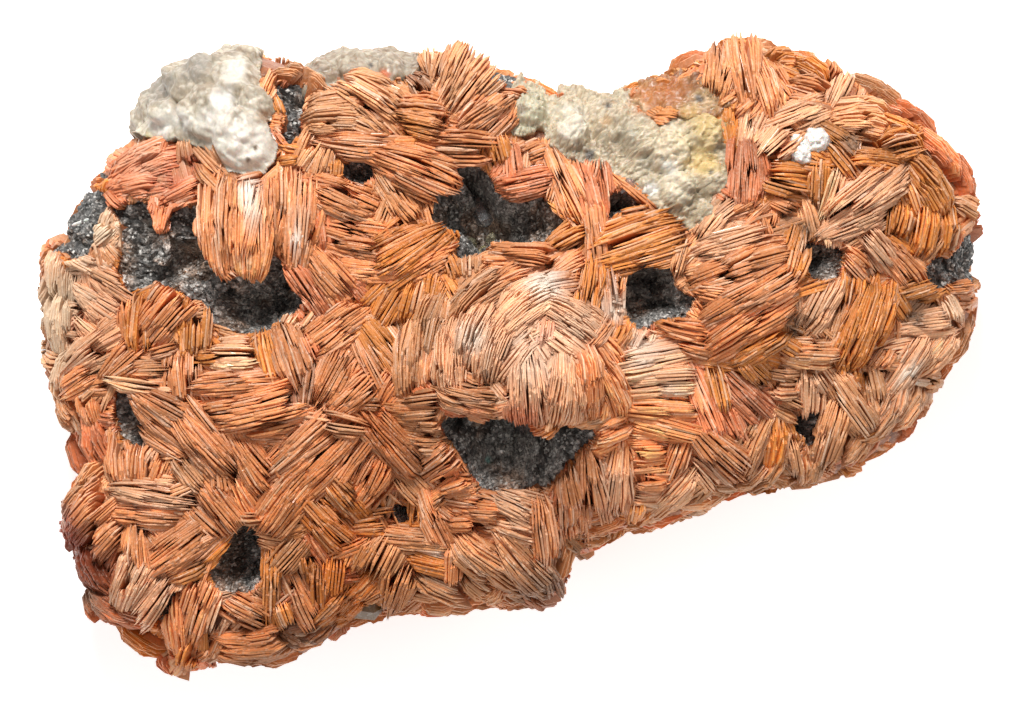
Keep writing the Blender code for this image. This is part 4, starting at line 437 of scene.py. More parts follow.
class Tone(Enum):
    """Colours of barite plates, linear, as read on the photographed faces."""

    SALMON = (0.69, 0.270, 0.102)
    DUSTY = (0.61, 0.290, 0.135)
    OCHRE = (0.65, 0.235, 0.046)
    PALE = (0.78, 0.425, 0.245)
    RED = (0.66, 0.215, 0.090)
    TAN = (0.70, 0.335, 0.155)
    CREAM = (0.80, 0.530, 0.360)
    DARK = (0.28, 0.110, 0.045)


TONE_LETTERS: dict[str, Tone] = {
    "S": Tone.SALMON, "B": Tone.DUSTY, "O": Tone.OCHRE, "P": Tone.PALE,
    "R": Tone.RED, "T": Tone.TAN, "C": Tone.CREAM, "K": Tone.DARK,
}


class Corner(Enum):
    """Where a plate's section has its points: the deep foot, both shoulders and the sharp crest."""

    FOOT = 0
    LEFT_SHOULDER = 1
    CREST = 2
    RIGHT_SHOULDER = 3


def lattice(cell: Array, seed: int) -> Array:
    """A fixed random number between 0 and 1 for each whole-number place.

    Args:
        cell: Whole-number coordinates, in the last axis.
        seed: Which set of numbers.

    Returns:
        One number for each place, from its coordinates times large primes, with their bits mixed.
    """
    cell = cell.astype(np.int64)
    mixed = cell[..., 0] * 374761393 + cell[..., 1] * 668265263 + cell[..., 2] * 1442695041 + seed * 974634777
    mixed &= 0xFFFFFFFF
    mixed = ((mixed ^ (mixed >> 13)) * 1274126177) & 0xFFFFFFFF
    return ((mixed ^ (mixed >> 16)) & 0xFFFFFF) / 0xFFFFFF


def soft_noise(points: Array, size: float, seed: int) -> Array:
    """Smooth noise between -1 and 1: lattice numbers blended by 3t^2 - 2t^3 along each axis.

    Args:
        points: Places in millimetres.
        size: The distance between lattice places.
        seed: Which set of numbers.

    Returns:
        One value for each place.
    """
    scaled = points / size
    low = np.floor(scaled)
    part = scaled - low
    part = part * part * (3 - 2 * part)
    total = np.zeros(len(points))
    for corner in range(8):
        bits = np.array([corner & 1, corner >> 1 & 1, corner >> 2 & 1])
        weight = np.prod(np.where(bits, part, 1 - part), axis=1)
        total += weight * lattice(low + bits, seed)
    return total * 2 - 1


def layered_noise(points: Array, size: float, seed: int, layers: int = 3) -> Array:
    """Soft noise plus finer layers, each with half the size and half the height of the one before."""
    return sum(soft_noise(points, size / 2**k, seed + k) / 2**k for k in range(layers))


def grains(points: Array, size: float, seed: int) -> tuple[Array, Array, Array]:
    """Cells of loose grains: one random centre in each lattice cube, and each place belongs to the nearest.

    Args:
        points: Places in millimetres.
        size: The usual distance between grains.
        seed: Which set of centres.

    Returns:
        Distance to the nearest centre, distance to the second nearest, both as shares of the size, and
        a random number that is the same all over a grain.
    """
    scaled = points / size
    low = np.floor(scaled)
    first = np.full(len(points), 9.0)
    second = np.full(len(points), 9.0)
    owner = np.zeros(len(points))
    steps = np.array([(i, j, k) for i in (-1, 0, 1) for j in (-1, 0, 1) for k in (-1, 0, 1)])
    for step in steps:
        cell = low + step
        centre = cell + np.stack([lattice(cell, seed + axis) for axis in range(3)], axis=-1)
        away = np.linalg.norm(scaled - centre, axis=1)
        nearer = away < first
        second = np.where(nearer, first, np.minimum(second, away))
        owner = np.where(nearer, lattice(cell, seed + 7), owner)
        first = np.where(nearer, away, first)
    return first, second, owner


def inside(corners: list[tuple[float, float]], x: Array, y: Array) -> Array:
    """True where a place lies inside a polygon: an even-odd count of the sides that a ray crosses."""
    result = np.zeros(x.shape, bool)
    for (ax, ay), (bx, by) in zip(corners, corners[1:] + corners[:1]):
        crosses = (ay > y) != (by > y)
        slope = (bx - ax) / ((by - ay) or 1e-9)
        result ^= crosses & (x < slope * (y - ay) + ax)
    return result


def signed_distance(corners: list[tuple[float, float]], x: Array, y: Array) -> Array:
    """Distance from a polygon's edge, negative inside: the least distance to any of its sides.

    Args:
        corners: The polygon.
        x: Places' x.
        y: Places' y.

    Returns:
        One distance for each place.
    """
    least = np.full(np.shape(x), 1e9)
    for (ax, ay), (bx, by) in zip(corners, corners[1:] + corners[:1]):
        dx, dy = bx - ax, by - ay
        t = np.clip(((x - ax) * dx + (y - ay) * dy) / (dx * dx + dy * dy), 0, 1)
        least = np.minimum(least, np.hypot(x - ax - t * dx, y - ay - t * dy))
    return np.where(inside(corners, x, y), -least, least)


def hills(x: Array, y: Array, places: list[tuple[float, float, float, float]]) -> Array:
    """Sum of round hills: each is its height times exp(-(distance / reach)^2)."""
    total = np.zeros(np.shape(x))
    for hill_x, hill_y, reach, height in places:
        total = total + height * np.exp(-((x - hill_x) ** 2 + (y - hill_y) ** 2) / reach**2)
    return total


def lump_heights(x: Array, y: Array, lumps: list[tuple[float, float, float, float]]) -> Array:
    """Height of round lumps: each is the top of a ball, its rise times sqrt(1 - (distance / radius)^2)."""
    total = np.zeros(np.shape(x))
    for lump_x, lump_y, radius, rise in lumps:
        near = ((x - lump_x) ** 2 + (y - lump_y) ** 2) / radius**2
        total = np.maximum(total, rise * np.sqrt(np.clip(1 - near, 0, 1)))
    return total


@dataclass(frozen=True)
class Form:
    """The specimen's one rounded form, the same as in the solids.

    Its spokes meet in the hub. Its section is a rounded square: on the face,
    share^face_square + ((z - rim) / (face - rim))^face_square = 1, and the like on the back.
    """

    hub: tuple[float, float] = (-1.5, 2.4)
    rim: float = 15.0
    face: float = 30.0
    face_square: float = 3.0
    back_square: float = 2.3
    sink: float = 2.0
    side_share: float = 0.8

    def radius(self, angle: Array) -> Array:
        """Distance from the hub to the outline in each direction, even between the outline's points."""
        spokes = np.array(OUTLINE) - self.hub
        bearings = np.arctan2(spokes[:, 1], spokes[:, 0])
        order = np.argsort(bearings)
        return np.interp(angle, bearings[order], np.hypot(*spokes.T)[order], period=2 * math.pi)

    def share(self, x: Array, y: Array) -> Array:
        """How far out from the hub each place lies, 1 on the outline."""
        angle = np.arctan2(y - self.hub[1], x - self.hub[0])
        return np.hypot(x - self.hub[0], y - self.hub[1]) / self.radius(angle)

    def height(self, x: Array, y: Array) -> Array:
        """Height of the face at each place inside the outline."""
        share = np.clip(self.share(x, y), 0, 1)
        fall = (1 - share**self.face_square) ** (1 / self.face_square)
        return self.rim + (self.face + hills(x, y, RELIEF) - self.rim) * fall

    def points(self, angle: Array, rise: Array, depth: Relief) -> Array:
        """Places on the form, or on a layer under it.

        Args:
            angle: Direction from the hub, in radians.
            rise: Direction up, in radians: 0 at the widest edge, pi / 2 at the top, -pi / 2 at the floor.
            depth: How far under the form the layer lies at x and y.

        Returns:
            One place for each pair: level share cos(rise)^p and upright share sin(rise)^p, where p is 2
            over the squareness of that side.
        """
        above = rise >= 0
        power = np.where(above, 2 / self.face_square, 2 / self.back_square)
        share = np.cos(rise) ** power
        reach = self.radius(angle)
        across = self.hub[0] + reach * share * np.cos(angle), self.hub[1] + reach * share * np.sin(angle)
        taken = depth(*across)
        reach = reach - self.side_share * taken
        x = self.hub[0] + reach * share * np.cos(angle)
        y = self.hub[1] + reach * share * np.sin(angle)
        lift = np.abs(np.sin(rise)) ** power
        top = self.rim + (self.face + hills(x, y, RELIEF) - taken - self.rim) * lift
        bottom = np.maximum(self.rim - (self.rim + self.sink) * lift, 0)
        return np.stack([x, y, np.where(above, top, bottom)], axis=-1)

    def frames(self, angle: Array, rise: Array) -> tuple[Array, Array, Array]:
        """Places on the bare form with the surface's outward normal and its level direction there.

        The normal is the cross product of the steps that a small change of angle and of rise make.
        """
        def bare(x: Array, y: Array) -> Array:
            """No depth anywhere."""
            return np.zeros(np.shape(x))

        place = self.points(angle, rise, bare)
        level = self.points(angle + 0.01, rise, bare) - self.points(angle - 0.01, rise, bare)
        upward = self.points(angle, rise + 0.01, bare) - self.points(angle, rise - 0.01, bare)
        normal = np.cross(level, upward)
        normal /= np.linalg.norm(normal, axis=-1, keepdims=True)
        level /= np.linalg.norm(level, axis=-1, keepdims=True)
        return place, normal, level


FORM = Form()


def galena_depth(x: Array, y: Array) -> Array:
    """Depth of the galena under the barite's surface, less its angular blocks, as in the solids."""
    total = np.zeros(np.shape(x))
    for number, (block_x, block_y, size, turn) in enumerate(GALENA_BLOCKS):
        angle = math.radians(turn)
        along = ((x - block_x) * math.cos(angle) + (y - block_y) * math.sin(angle)) / (size / 2)
        across = ((y - block_y) * math.cos(angle) - (x - block_x) * math.sin(angle)) / (size / 2)
        lean = 0.3 * math.sin(number * 2.4) * along + 0.3 * math.cos(number * 1.7) * across
        flank = np.clip((1 - np.maximum(np.abs(along), np.abs(across))) * 2, 0, 1)
        total = np.maximum(total, BLOCK_SHARE * size * (1 + lean) * flank)
    return np.maximum(CRUST_THICKNESS + hills(x, y, COVER) - total, LEAST_COVER)


@dataclass
class MeshParts:
    """Points, four-sided and three-sided faces of a mesh under way.

    Each point may have a colour, with its gloss from 0 to 1 as the fourth number.
    """

    points: Array
    quads: Array
    triangles: Array = field(default_factory=lambda: np.zeros((0, 3), int))
    colours: Array | None = None
    corner_uv: Array | None = None

    def made(self, name: str, shift: Array, smooth: bool = False) -> bpy.types.Object:
        """Puts the arrays into a new object.

        Args:
            name: The piece's name.
            shift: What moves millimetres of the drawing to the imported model's frame.
            smooth: Whether its faces are shaded smooth.

        Returns:
            The object, at the origin, with its place in its mesh.
        """
        mesh = bpy.data.meshes.new(name)
        corners = np.concatenate([self.quads.ravel(), self.triangles.ravel()])
        starts = np.concatenate([
            np.arange(len(self.quads)) * 4, self.quads.size + np.arange(len(self.triangles)) * 3,
        ])
        mesh.vertices.add(len(self.points))
        mesh.vertices.foreach_set("co", ((self.points + shift) * MM).astype(np.float32).ravel())
        mesh.loops.add(len(corners))
        mesh.loops.foreach_set("vertex_index", corners.astype(np.int32))
        mesh.polygons.add(len(starts))
        mesh.polygons.foreach_set("loop_start", starts.astype(np.int32))
        mesh.update(calc_edges=True)
        mesh.polygons.foreach_set("use_smooth", np.full(len(starts), smooth))
        if self.colours is not None:
            colour = mesh.color_attributes.new("tone", "FLOAT_COLOR", "POINT")
            full = np.zeros((len(self.colours), 4))
            full[:, :self.colours.shape[1]] = self.colours
            colour.data.foreach_set("color", full.astype(np.float32).ravel())
        if self.corner_uv is not None:
            layer = mesh.uv_layers.new(name="OFBake")
            layer.data.foreach_set("uv", self.corner_uv.astype(np.float32).ravel())
        mesh.validate()
        obj = bpy.data.objects.new(name, mesh)
        bpy.context.scene.collection.objects.link(obj)
        return obj


def joined(parts: list[MeshParts]) -> MeshParts:
    """One set of arrays from several."""
    offsets = np.cumsum([0] + [len(part.points) for part in parts[:-1]])
    colours = [part.colours for part in parts if part.colours is not None]
    return MeshParts(
        np.concatenate([part.points for part in parts]),
        np.concatenate([part.quads + offset for part, offset in zip(parts, offsets)]),
        np.concatenate([part.triangles + offset for part, offset in zip(parts, offsets)]),
        np.concatenate(colours) if len(colours) == len(parts) else None,
    )


@dataclass
class Shell:
    """A closed crust over a polygon of the form: a fine outer skin, an inner skin and the walls between.

    The grid runs round the hub and up the form's section, about the spacing apart. A cell is kept where
    its middle lies inside the polygon and over the lowest height.
    """

    corners: list[tuple[float, float]]
    spacing: float
    outer: Relief
    thick: float
    rough: Callable[[Array], Array]
    lowest: float = 0.0
    ragged: float = 0.35
    margin: float = 0.0
    loose: float = 0.0

    def grid(self) -> tuple[Array, Array]:
        """Angles and rises of the grid's rows and columns, wide enough for the polygon."""
        offsets = np.array(grown(self.corners, self.margin * 1.6)) - FORM.hub
        bearings = np.arctan2(offsets[:, 1], offsets[:, 0])
        middle = np.arctan2(np.sin(bearings).mean(), np.cos(bearings).mean())
        turned = (bearings - middle + math.pi) % (2 * math.pi) - math.pi
        share = FORM.share(*np.array(grown(self.corners, self.margin * 1.6)).T)
        far = min(np.hypot(*offsets.T).max(), 62.0)
        columns = int((turned.max() - turned.min() + 0.06) * far / self.spacing) + 2
        angle = middle + np.linspace(turned.min() - 0.03, turned.max() + 0.03, columns)
        level = np.clip(np.array([share.min() - 0.02, share.max() + 0.02]), 0.02, 1.0)
        top = math.acos(level[0] ** (FORM.face_square / 2))
        if level[1] >= 0.999:
            foot = -0.5
        else:
            foot = math.acos(level[1] ** (FORM.face_square / 2))
        fine = np.linspace(foot, top, 2000)
        track = FORM.points(np.full(2000, middle), fine, lambda x, y: np.zeros(np.shape(x)))
        run = np.concatenate([[0], np.cumsum(np.linalg.norm(np.diff(track, axis=0), axis=1))])
        rows = int(run[-1] / self.spacing) + 2
        return angle, np.interp(np.linspace(0, run[-1], rows), run, fine)

    def build(self, colour: Callable[[Array, Array], Array]) -> MeshParts:
        """Works out both skins, keeps the polygon's cells and closes the walls.

        Args:
            colour: Gives a colour for each point of the outer skin, from its place and its bump.

        Returns:
            The closed crust.
        """
        angle, rise = self.grid()
        angles, rises = np.meshgrid(angle, rise)
        flat = angles.ravel(), rises.ravel()
        shape = angles.shape
        base, normal, _ = FORM.frames(*flat)
        skin = FORM.points(*flat, self.outer)
        bumps = self.rough(skin)
        jitter = np.stack([soft_noise(skin, 0.6, 80 + axis) for axis in range(3)], axis=-1) * self.loose
        skin = skin + normal * bumps[:, None] + jitter
        under = skin - normal * (self.thick + bumps)[:, None] - jitter
        wander = self.ragged * np.stack([soft_noise(base, 1.1, 3), soft_noise(base, 1.1, 4)], axis=-1)
        middle = (base[:, :2] + wander).reshape(*shape, 2)[:-1, :-1]
        high = base[:, 2].reshape(shape)[:-1, :-1] > self.lowest
        kept = (signed_distance(self.corners, middle[..., 0], middle[..., 1]) < self.margin) & high
        kept = self.tidied(kept)
        colours = colour(skin, bumps)
        number = np.arange(angles.size).reshape(shape)
        a, b = number[:-1, :-1][kept], number[:-1, 1:][kept]
        c, d = number[1:, 1:][kept], number[1:, :-1][kept]
        count = angles.size
        top = np.stack([a, b, c, d], axis=1)
        bottom = np.stack([d, c, b, a], axis=1) + count
        padded = np.pad(kept, 1)
        walls = []
        sides = (
            ((1, 0), number[:-1, :-1], number[1:, :-1]), ((1, 2), number[1:, 1:], number[:-1, 1:]),
            ((0, 1), number[:-1, 1:], number[:-1, :-1]), ((2, 1), number[1:, :-1], number[1:, 1:]),
        )
        for (row, column), start, end in sides:
            near = padded[row:row + kept.shape[0], column:column + kept.shape[1]]
            edge = kept & ~near
            first, second = start[edge], end[edge]
            walls.append(np.stack([first, second, second + count, first + count], axis=1))
        quads = np.concatenate([top, bottom, *walls])
        # The inner skin takes half the outer colour: painted shade under the crust and down its walls.
        return compacted(np.concatenate([skin, under]), quads, np.concatenate([colours, colours * 0.5]))

    @staticmethod
    def tidied(kept: Array) -> Array:
        """Drops cells that hang on by a corner only, so that no two walls share an edge."""
        for _ in range(12):
            padded = np.pad(kept, 1)
            left, right = padded[1:-1, :-2], padded[1:-1, 2:]
            below, above = padded[:-2, 1:-1], padded[2:, 1:-1]
            lonely = kept & (left.astype(int) + right + below + above < 2)
            touch = np.zeros_like(kept)
            corners = ((0, 0, below, left), (0, 2, below, right), (2, 0, above, left), (2, 2, above, right))
            for row, column, one, two in corners:
                diagonal = padded[row:row + kept.shape[0], column:column + kept.shape[1]]
                touch |= kept & diagonal & ~one & ~two
            if not (lonely | touch).any():
                break
            kept = kept & ~lonely & ~touch
        return kept


def compacted(points: Array, quads: Array, colours: Array) -> MeshParts:
    """Leaves out the points that no face uses."""
    used, index = np.unique(quads.ravel(), return_inverse=True)
    return MeshParts(points[used], index.reshape(quads.shape), colours=colours[used])


@dataclass(frozen=True)
class Book:
    """A stack of plates: its middle, heading in degrees, length, width, rise, fan, bend and finish code."""

    x: float
    y: float
    heading: float
    length: float
    width: float
    rise: float
    fan: float
    bend: float
    code: str

    @property
    def tone(self) -> Array:
        """Its plates' base colour."""
        return np.array(TONE_LETTERS[self.code[0]].value)

    def covers(self, x: Array, y: Array, swell: float = 1.0) -> Array:
        """True where a place lies on the book: a spindle, its half width times 1 - |along|^3."""
        angle = math.radians(self.heading)
        along = ((x - self.x) * math.cos(angle) + (y - self.y) * math.sin(angle)) / (self.length / 2 * swell)
        across = (y - self.y) * math.cos(angle) - (x - self.x) * math.sin(angle)
        across = across - math.radians(self.bend) * self.length / 8 * (along**2 - 1)
        half = self.width / 2 * swell * np.clip(1 - np.abs(along) ** 3, 0, 1)
        return (np.abs(along) < 1) & (np.abs(across) < half)

    def swell(self, x: Array, y: Array) -> Array:
        """Height of the ground inside the book: 0.7 of its rise in its middle, less towards its edges."""
        angle = math.radians(self.heading)
        along = ((x - self.x) * math.cos(angle) + (y - self.y) * math.sin(angle)) / (self.length / 2)
        across = ((y - self.y) * math.cos(angle) - (x - self.x) * math.sin(angle)) / (self.width / 2)
        return 0.7 * self.rise * np.clip(1 - 0.5 * np.abs(along) ** 3 - 0.5 * across**2, 0, 1) * (
            np.abs(along) < 1
        ) * (np.abs(across) < 1)


@dataclass
class Plates:
    """Thin pointed barite plates, as whole arrays with one row a plate.

    A plate runs along its book at a rank from -1 to 1 across it, around a centre from -1 to 1 along it.
    Its section is a kite: a sharp crest, a shoulder on each side and one deep foot. Both its ends are
    points: one stands up, the other sinks among the next plates.
    """

    origin: Array
    along: Array
    side: Array
    up: Array
    length: Array
    width: Array
    rank: Array
    centre: Array
    reach: Array
    thickness: Array
    height: Array
    raised: Array
    tilted: Array
    skew: Array
    fan: Array
    bend: Array
    draped: Array
    tone: Array
    gloss: Array
    seed: int = 5

    STATIONS = np.array([-1.0, -0.5, 0.5, 1.0])
    SAMPLES = np.linspace(-1, 1, 11)
    LEAST_RUN = 4
    ROW_LENGTH = 5.2
    FEATHER = 0.8
    FOOT_DEPTH = 1.3

    @classmethod
    def of_books(cls, books: list[Book], seed: int, pitch: float = 0.128) -> Plates:
        """Plates of books that lie on the face.

        Args:
            books: The books.
            seed: Which random numbers to use.
            pitch: Usual distance between two plates.

        Returns:
            All their plates, cut short where bare galena begins.
        """
        x = np.array([book.x for book in books])
        y = np.array([book.y for book in books])
        share = np.clip(FORM.share(x, y), 0.01, 0.999)
        angle = np.arctan2(y - FORM.hub[1], x - FORM.hub[0])
        rise = np.arccos(share ** (FORM.face_square / 2))
        place, normal, _ = FORM.frames(angle, rise)
        heading = np.radians([book.heading for book in books])
        level = np.stack([np.cos(heading), np.sin(heading), np.zeros(len(books))], axis=1)
        draped = share < 0.9
        lean = np.where(draped, 0.65, 1.0)[:, None]
        up = normal * lean + np.array([0, 0, 1]) * (1 - lean)
        plates = cls.spread(books, place, level, up, draped, seed, pitch)
        return plates.trimmed()

    @classmethod
    def spread(
        cls, books: list[Book], place: Array, level: Array, up: Array, draped: Array, seed: int, pitch: float
    ) -> Plates:
        """Spreads each book's plates side by side, in one to three rows along it.

        Args:
            books: The books.
            place: Where each stands.
            level: Roughly the way that its plates run.
            up: The way that their crests point.
            draped: Whether its base lines follow the face's height.
            seed: Which random numbers to use.
            pitch: Usual distance between two plates.

        Returns:
            All their plates.
        """
        rng = np.random.default_rng(seed)
        up = up / np.linalg.norm(up, axis=1, keepdims=True)
        along = level - up * np.sum(level * up, axis=1, keepdims=True)
        along /= np.linalg.norm(along, axis=1, keepdims=True)
        side = np.cross(up, along)
        facts = np.array([(b.length, b.width, b.rise, b.fan, math.radians(b.bend)) for b in books])
        facts[:, 3] += np.abs(rng.normal(0, 0.10, len(books))) * np.where(facts[:, 3] < 0, -1, 1)
        facts[:, 4] += rng.normal(0, 0.10, len(books))
        fine = np.array([0.72 if "f" in book.code else 1.0 for book in books])
        across = np.maximum(3, np.rint(facts[:, 1] / pitch / fine).astype(int))
        rows = np.maximum(1, np.rint(facts[:, 0] / cls.ROW_LENGTH / fine).astype(int))
        owner = np.repeat(np.arange(len(books)), across * rows)
        total = len(owner)
        index = np.arange(total) - (np.cumsum(across * rows) - across * rows)[owner]
        column, row = index % across[owner], index // across[owner]
        place_across = (column + 0.5) / across[owner]
        feather = place_across * facts[owner, 1] / cls.FEATHER / fine[owner] + rng.random(len(books))[owner]
        local = 2 * (feather % 1.0) - 1
        own = rng.normal(0, 1, (len(books), 5, 40, 6))[owner, np.minimum(row, 4), feather.astype(int) % 40]
        rank = -1 + 2 * (column + 0.5 + rng.normal(0, 0.22, total)) / across[owner]
        centre = 0.84 * (-1 + 2 * (row + 0.5 + 0.24 * own[:, 0] + rng.normal(0, 0.04, total)) / rows[owner])
        reach = np.where(rows[owner] > 1, 1.65 / rows[owner], 1.08) * rng.uniform(0.72, 1.08, total)
        reach *= np.clip(0.94 + 0.18 * own[:, 1], 0.55, 1.25) * (1 - 0.22 * local**2)
        reach = reach * (1 - 0.42 * np.abs(rank) ** 2.2)
        length, width, tall, fan, bend = facts[owner].T
        turn = rng.choice([-1.0, 1.0], len(books), p=[0.35, 0.65])[owner]
        tilted = np.sign(own[:, 2]) * rng.uniform(0.0, 0.4, total)
        slope = turn * np.abs(rng.normal(0, 0.30, len(books)))[owner]
        tones = np.array([book.tone for book in books]) * np.exp(rng.normal(0, 0.10, (len(books), 1)))
        glossy = np.array([0.5 if "g" in book.code else 0.0 for book in books])[owner]
        outward = (rank * 0.28 + 0.08 * own[:, 3] + 0.06 * local + rng.normal(0, 0.04, total))[:, None]
        leaning = up[owner] + side[owner] * outward
        profile = (1 - 0.50 * rank**2) * (1 - 0.4 * np.abs(centre) ** 3) * (1 + slope * centre)
        steps = 0.16 * own[:, 4] - 0.17 * local**2 + rng.normal(0.32, 0.02, total)
        return cls(
            origin=place[owner], along=along[owner], side=side[owner],
            up=leaning / np.linalg.norm(leaning, axis=1, keepdims=True),
            length=length * 1.03, width=width, rank=rank, centre=centre, reach=reach,
            thickness=rng.uniform(1.8, 2.9, total) * pitch * fine[owner], height=tall * 1.08 * profile + steps,
            raised=turn, tilted=tilted, skew=0.05 * own[:, 2] + rng.normal(0, 0.02, total), fan=fan,
            bend=bend, draped=draped[owner],
            # Tones darken towards each book's edges: painted shade where its plates stand lower.
            tone=varied(tones[owner] * np.exp(0.11 * own[:, 5:]) * (1 - 0.20 * np.abs(rank[:, None]) ** 3), rng),
            gloss=np.clip(glossy + rng.random(total) ** 7, 0, 1), seed=seed,
        )

    def __len__(self) -> int:
        """How many plates there are."""
        return len(self.length)

    def chosen(self, keep: Array) -> Plates:
        """The plates for which the mask is true."""
        rows = {item.name: getattr(self, item.name) for item in fields(self) if item.name != "seed"}
        return Plates(**{name: values[keep] for name, values in rows.items()}, seed=self.seed)

    def lines(self, stations: Array) -> Array:
        """Each plate's base line.

        At u along its book it stands rank * width / 2 * (1 + 1.6 * fan * u) to the side, plus an arc of
        the book's bend, plus its own skew.

        Args:
            stations: Where along each plate, from -1 to 1.

        Returns:
            A place for each plate and station.
        """
        step = self.reach[:, None] * stations
        u = self.centre[:, None] + step
        forward = u * self.length[:, None] / 2
        arc = self.bend[:, None] * self.length[:, None] / 8 * (u**2 - 1)
        offset = self.rank * self.width / 2
        sideways = offset[:, None] * (1 + 1.6 * self.fan[:, None] * u) + arc
        sideways = sideways + self.skew[:, None] * step * self.length[:, None] / 2
        base = (
            self.origin[:, None, :] + self.along[:, None, :] * forward[..., None]
            + self.side[:, None, :] * sideways[..., None]
        )
        held = self.on_face(base[..., 0], base[..., 1])
        base[..., 2] = np.where(self.draped[:, None], held, base[..., 2])
        sag = np.where(self.draped[:, None], 0, forward**2 / 30 + sideways**2 / 30)
        return base - self.up[:, None, :] * sag[..., None]

    def trimmed(self) -> Plates:
        """Shortens each plate to its longest run outside the windows and well outside the pale crusts,
        and leaves out those with hardly any."""
        base = self.lines(self.SAMPLES)
        x, y = base[..., 0], base[..., 1]
        bare = FORM.share(x, y) > 1.012
        crusts = [corners for _, corners in PALE_CRUSTS.values()]
        for corners in (*BARE, *(grown(corners, -1.2) for corners in (*crusts, RUSTY_PATCH))):
            bare |= inside(corners, x, y)
        run = np.zeros(len(self), int)
        best, last = run.copy(), run.copy()
        for number in range(len(self.SAMPLES)):
            run = np.where(bare[:, number], 0, run + 1)
            last = np.where(run > best, number, last)
            best = np.maximum(best, run)
        first = np.maximum(last - best + 1, 0)
        loose = np.random.default_rng(self.seed + 2).uniform(0.95, 1.25, len(self))
        start, stop = self.SAMPLES[first], self.SAMPLES[last]
        short = replace(
            self, centre=self.centre + self.reach * (start + stop) / 2,
            reach=self.reach * (stop - start) / 2 * np.where(best < len(self.SAMPLES), loose, 1.0),
        )
        return short.chosen(best >= self.LEAST_RUN)

    def build(self) -> MeshParts:
        """Works out every plate's corners at once.

        Returns:
            The plates' mesh, with its own atlas, one cell a plate.
        """
        rng = np.random.default_rng(self.seed + 1)
        total, inner = len(self), len(self.STATIONS) - 2
        t = np.tile(self.STATIONS, (total, 1))
        t[:, 1:-1] += rng.uniform(-0.2, 0.25, (total, inner)) * np.sign(t[:, 1:-1])
        base = self.lines(t)
        u = np.clip(np.abs(self.centre[:, None] + self.reach[:, None] * t), 0, 1.1)
        crest = self.height[:, None] * (1 - 0.35 * u**4) + self.raised[:, None] * t * 0.30 - 0.25 * t**2
        crest = crest - np.where(self.raised[:, None] * t < -0.9, 0.5, 0.0)
        crest[:, 1:-1] += rng.normal(0, 0.02, (total, inner))
        tips = base[:, [0, -1]] + self.up[:, None, :] * (crest[:, [0, -1]] - 0.12)[..., None]
        ridge, middle = crest[:, 1:-1], base[:, 1:-1]
        half = self.thickness[:, None] / 2 * rng.uniform(0.8, 1.0, (total, inner))
        bevel = rng.uniform(0.02, 0.06, (total, 1)) + np.zeros((1, inner))
        lean = self.tilted[:, None] * half
        nought = np.zeros_like(half)
        across = np.stack([nought, -half, lean, half], axis=-1)
        foot = np.full_like(ridge, -self.FOOT_DEPTH)
        high = np.stack([foot, ridge - bevel, ridge, ridge - bevel], axis=-1)
        rings = (
            middle[:, :, None, :] + self.side[:, None, None, :] * across[..., None]
            + self.up[:, None, None, :] * high[..., None]
        )
        corners = len(Corner)
        number = np.arange(total * inner * corners).reshape(total, inner, corners)
        following = np.roll(number, -1, axis=2)
        quads = np.stack([number[:, :-1], following[:, :-1], following[:, 1:], number[:, 1:]], axis=-1)
        first = (number.size + np.arange(total) * 2)[:, None] + np.zeros(corners, int)
        start = np.stack([following[:, 0], number[:, 0], first], axis=-1)
        stop = np.stack([number[:, -1], following[:, -1], first + 1], axis=-1)
        colours = self.shades(rng, inner, base)
        return MeshParts(
            np.concatenate([rings.reshape(-1, 3), tips.reshape(-1, 3)]), quads.reshape(-1, 4),
            np.concatenate([start.reshape(-1, 3), stop.reshape(-1, 3)]), colours,
            self.atlas(total, inner, corners),
        )

    @staticmethod
    def on_face(x: Array, y: Array) -> Array:
        """Height of the face, with places near or over the edge read a little further in."""
        share = FORM.share(x, y)
        pull = np.minimum(1, 0.965 / np.maximum(share, 1e-6))
        return FORM.height(FORM.hub[0] + (x - FORM.hub[0]) * pull, FORM.hub[1] + (y - FORM.hub[1]) * pull)

    def shades(self, rng: np.random.Generator, inner: int, base: Array) -> Array:
        """Colour and gloss of each corner: deep red-brown at the foot as painted shade, the plate's tone at its
        shoulders, a painted highlight at its crest and raised point, painted shade at its sunk one, with broad
        painted shade and light and coloured spots by place."""
        # Painted shade in the deep red-brown foot between the plates, and a painted highlight in the slightly
        # paler crest.
        foot = self.tone * np.array([0.85, 0.45, 0.22])
        shoulder = self.tone * np.array([0.98, 0.83, 0.64])
        crest = self.tone + np.array([0.020, 0.016, 0.010])
        rows = np.stack([foot, shoulder, crest, shoulder], axis=1)
        t = self.STATIONS[None, :]
        # Painted light towards each plate's raised end and painted shade towards its sunk one, with a little
        # random tone.
        painted_light_ramp = 1 + 0.22 * self.raised[:, None] * t + rng.normal(0, 0.05, (len(self), inner + 2))
        painted_light_factor, stain_and_painted_light, weight = stained(base)
        painted_light_ramp = painted_light_ramp[..., None] * painted_light_factor
        rings = rows[:, None, :, :] * painted_light_ramp[:, 1:-1, None, :]
        points = crest[:, None, :] * painted_light_ramp[:, [0, -1], :]
        # Spot colours are darkened at the foot and shoulders as painted shade.
        shade = np.array([0.70, 0.90, 1.0, 0.90])[None, None, :, None]
        rings = rings + (stain_and_painted_light[:, 1:-1, None, :] * shade - rings) * weight[:, 1:-1, None, :]
        points = points + (stain_and_painted_light[:, [0, -1]] - points) * weight[:, [0, -1]]
        colours = np.concatenate([rings.reshape(-1, 3), points.reshape(-1, 3)])
        gloss = np.concatenate([np.repeat(self.gloss, inner * len(Corner)), np.repeat(self.gloss, 2)])
        return np.column_stack([np.clip(colours, 0.005, 0.95), gloss])

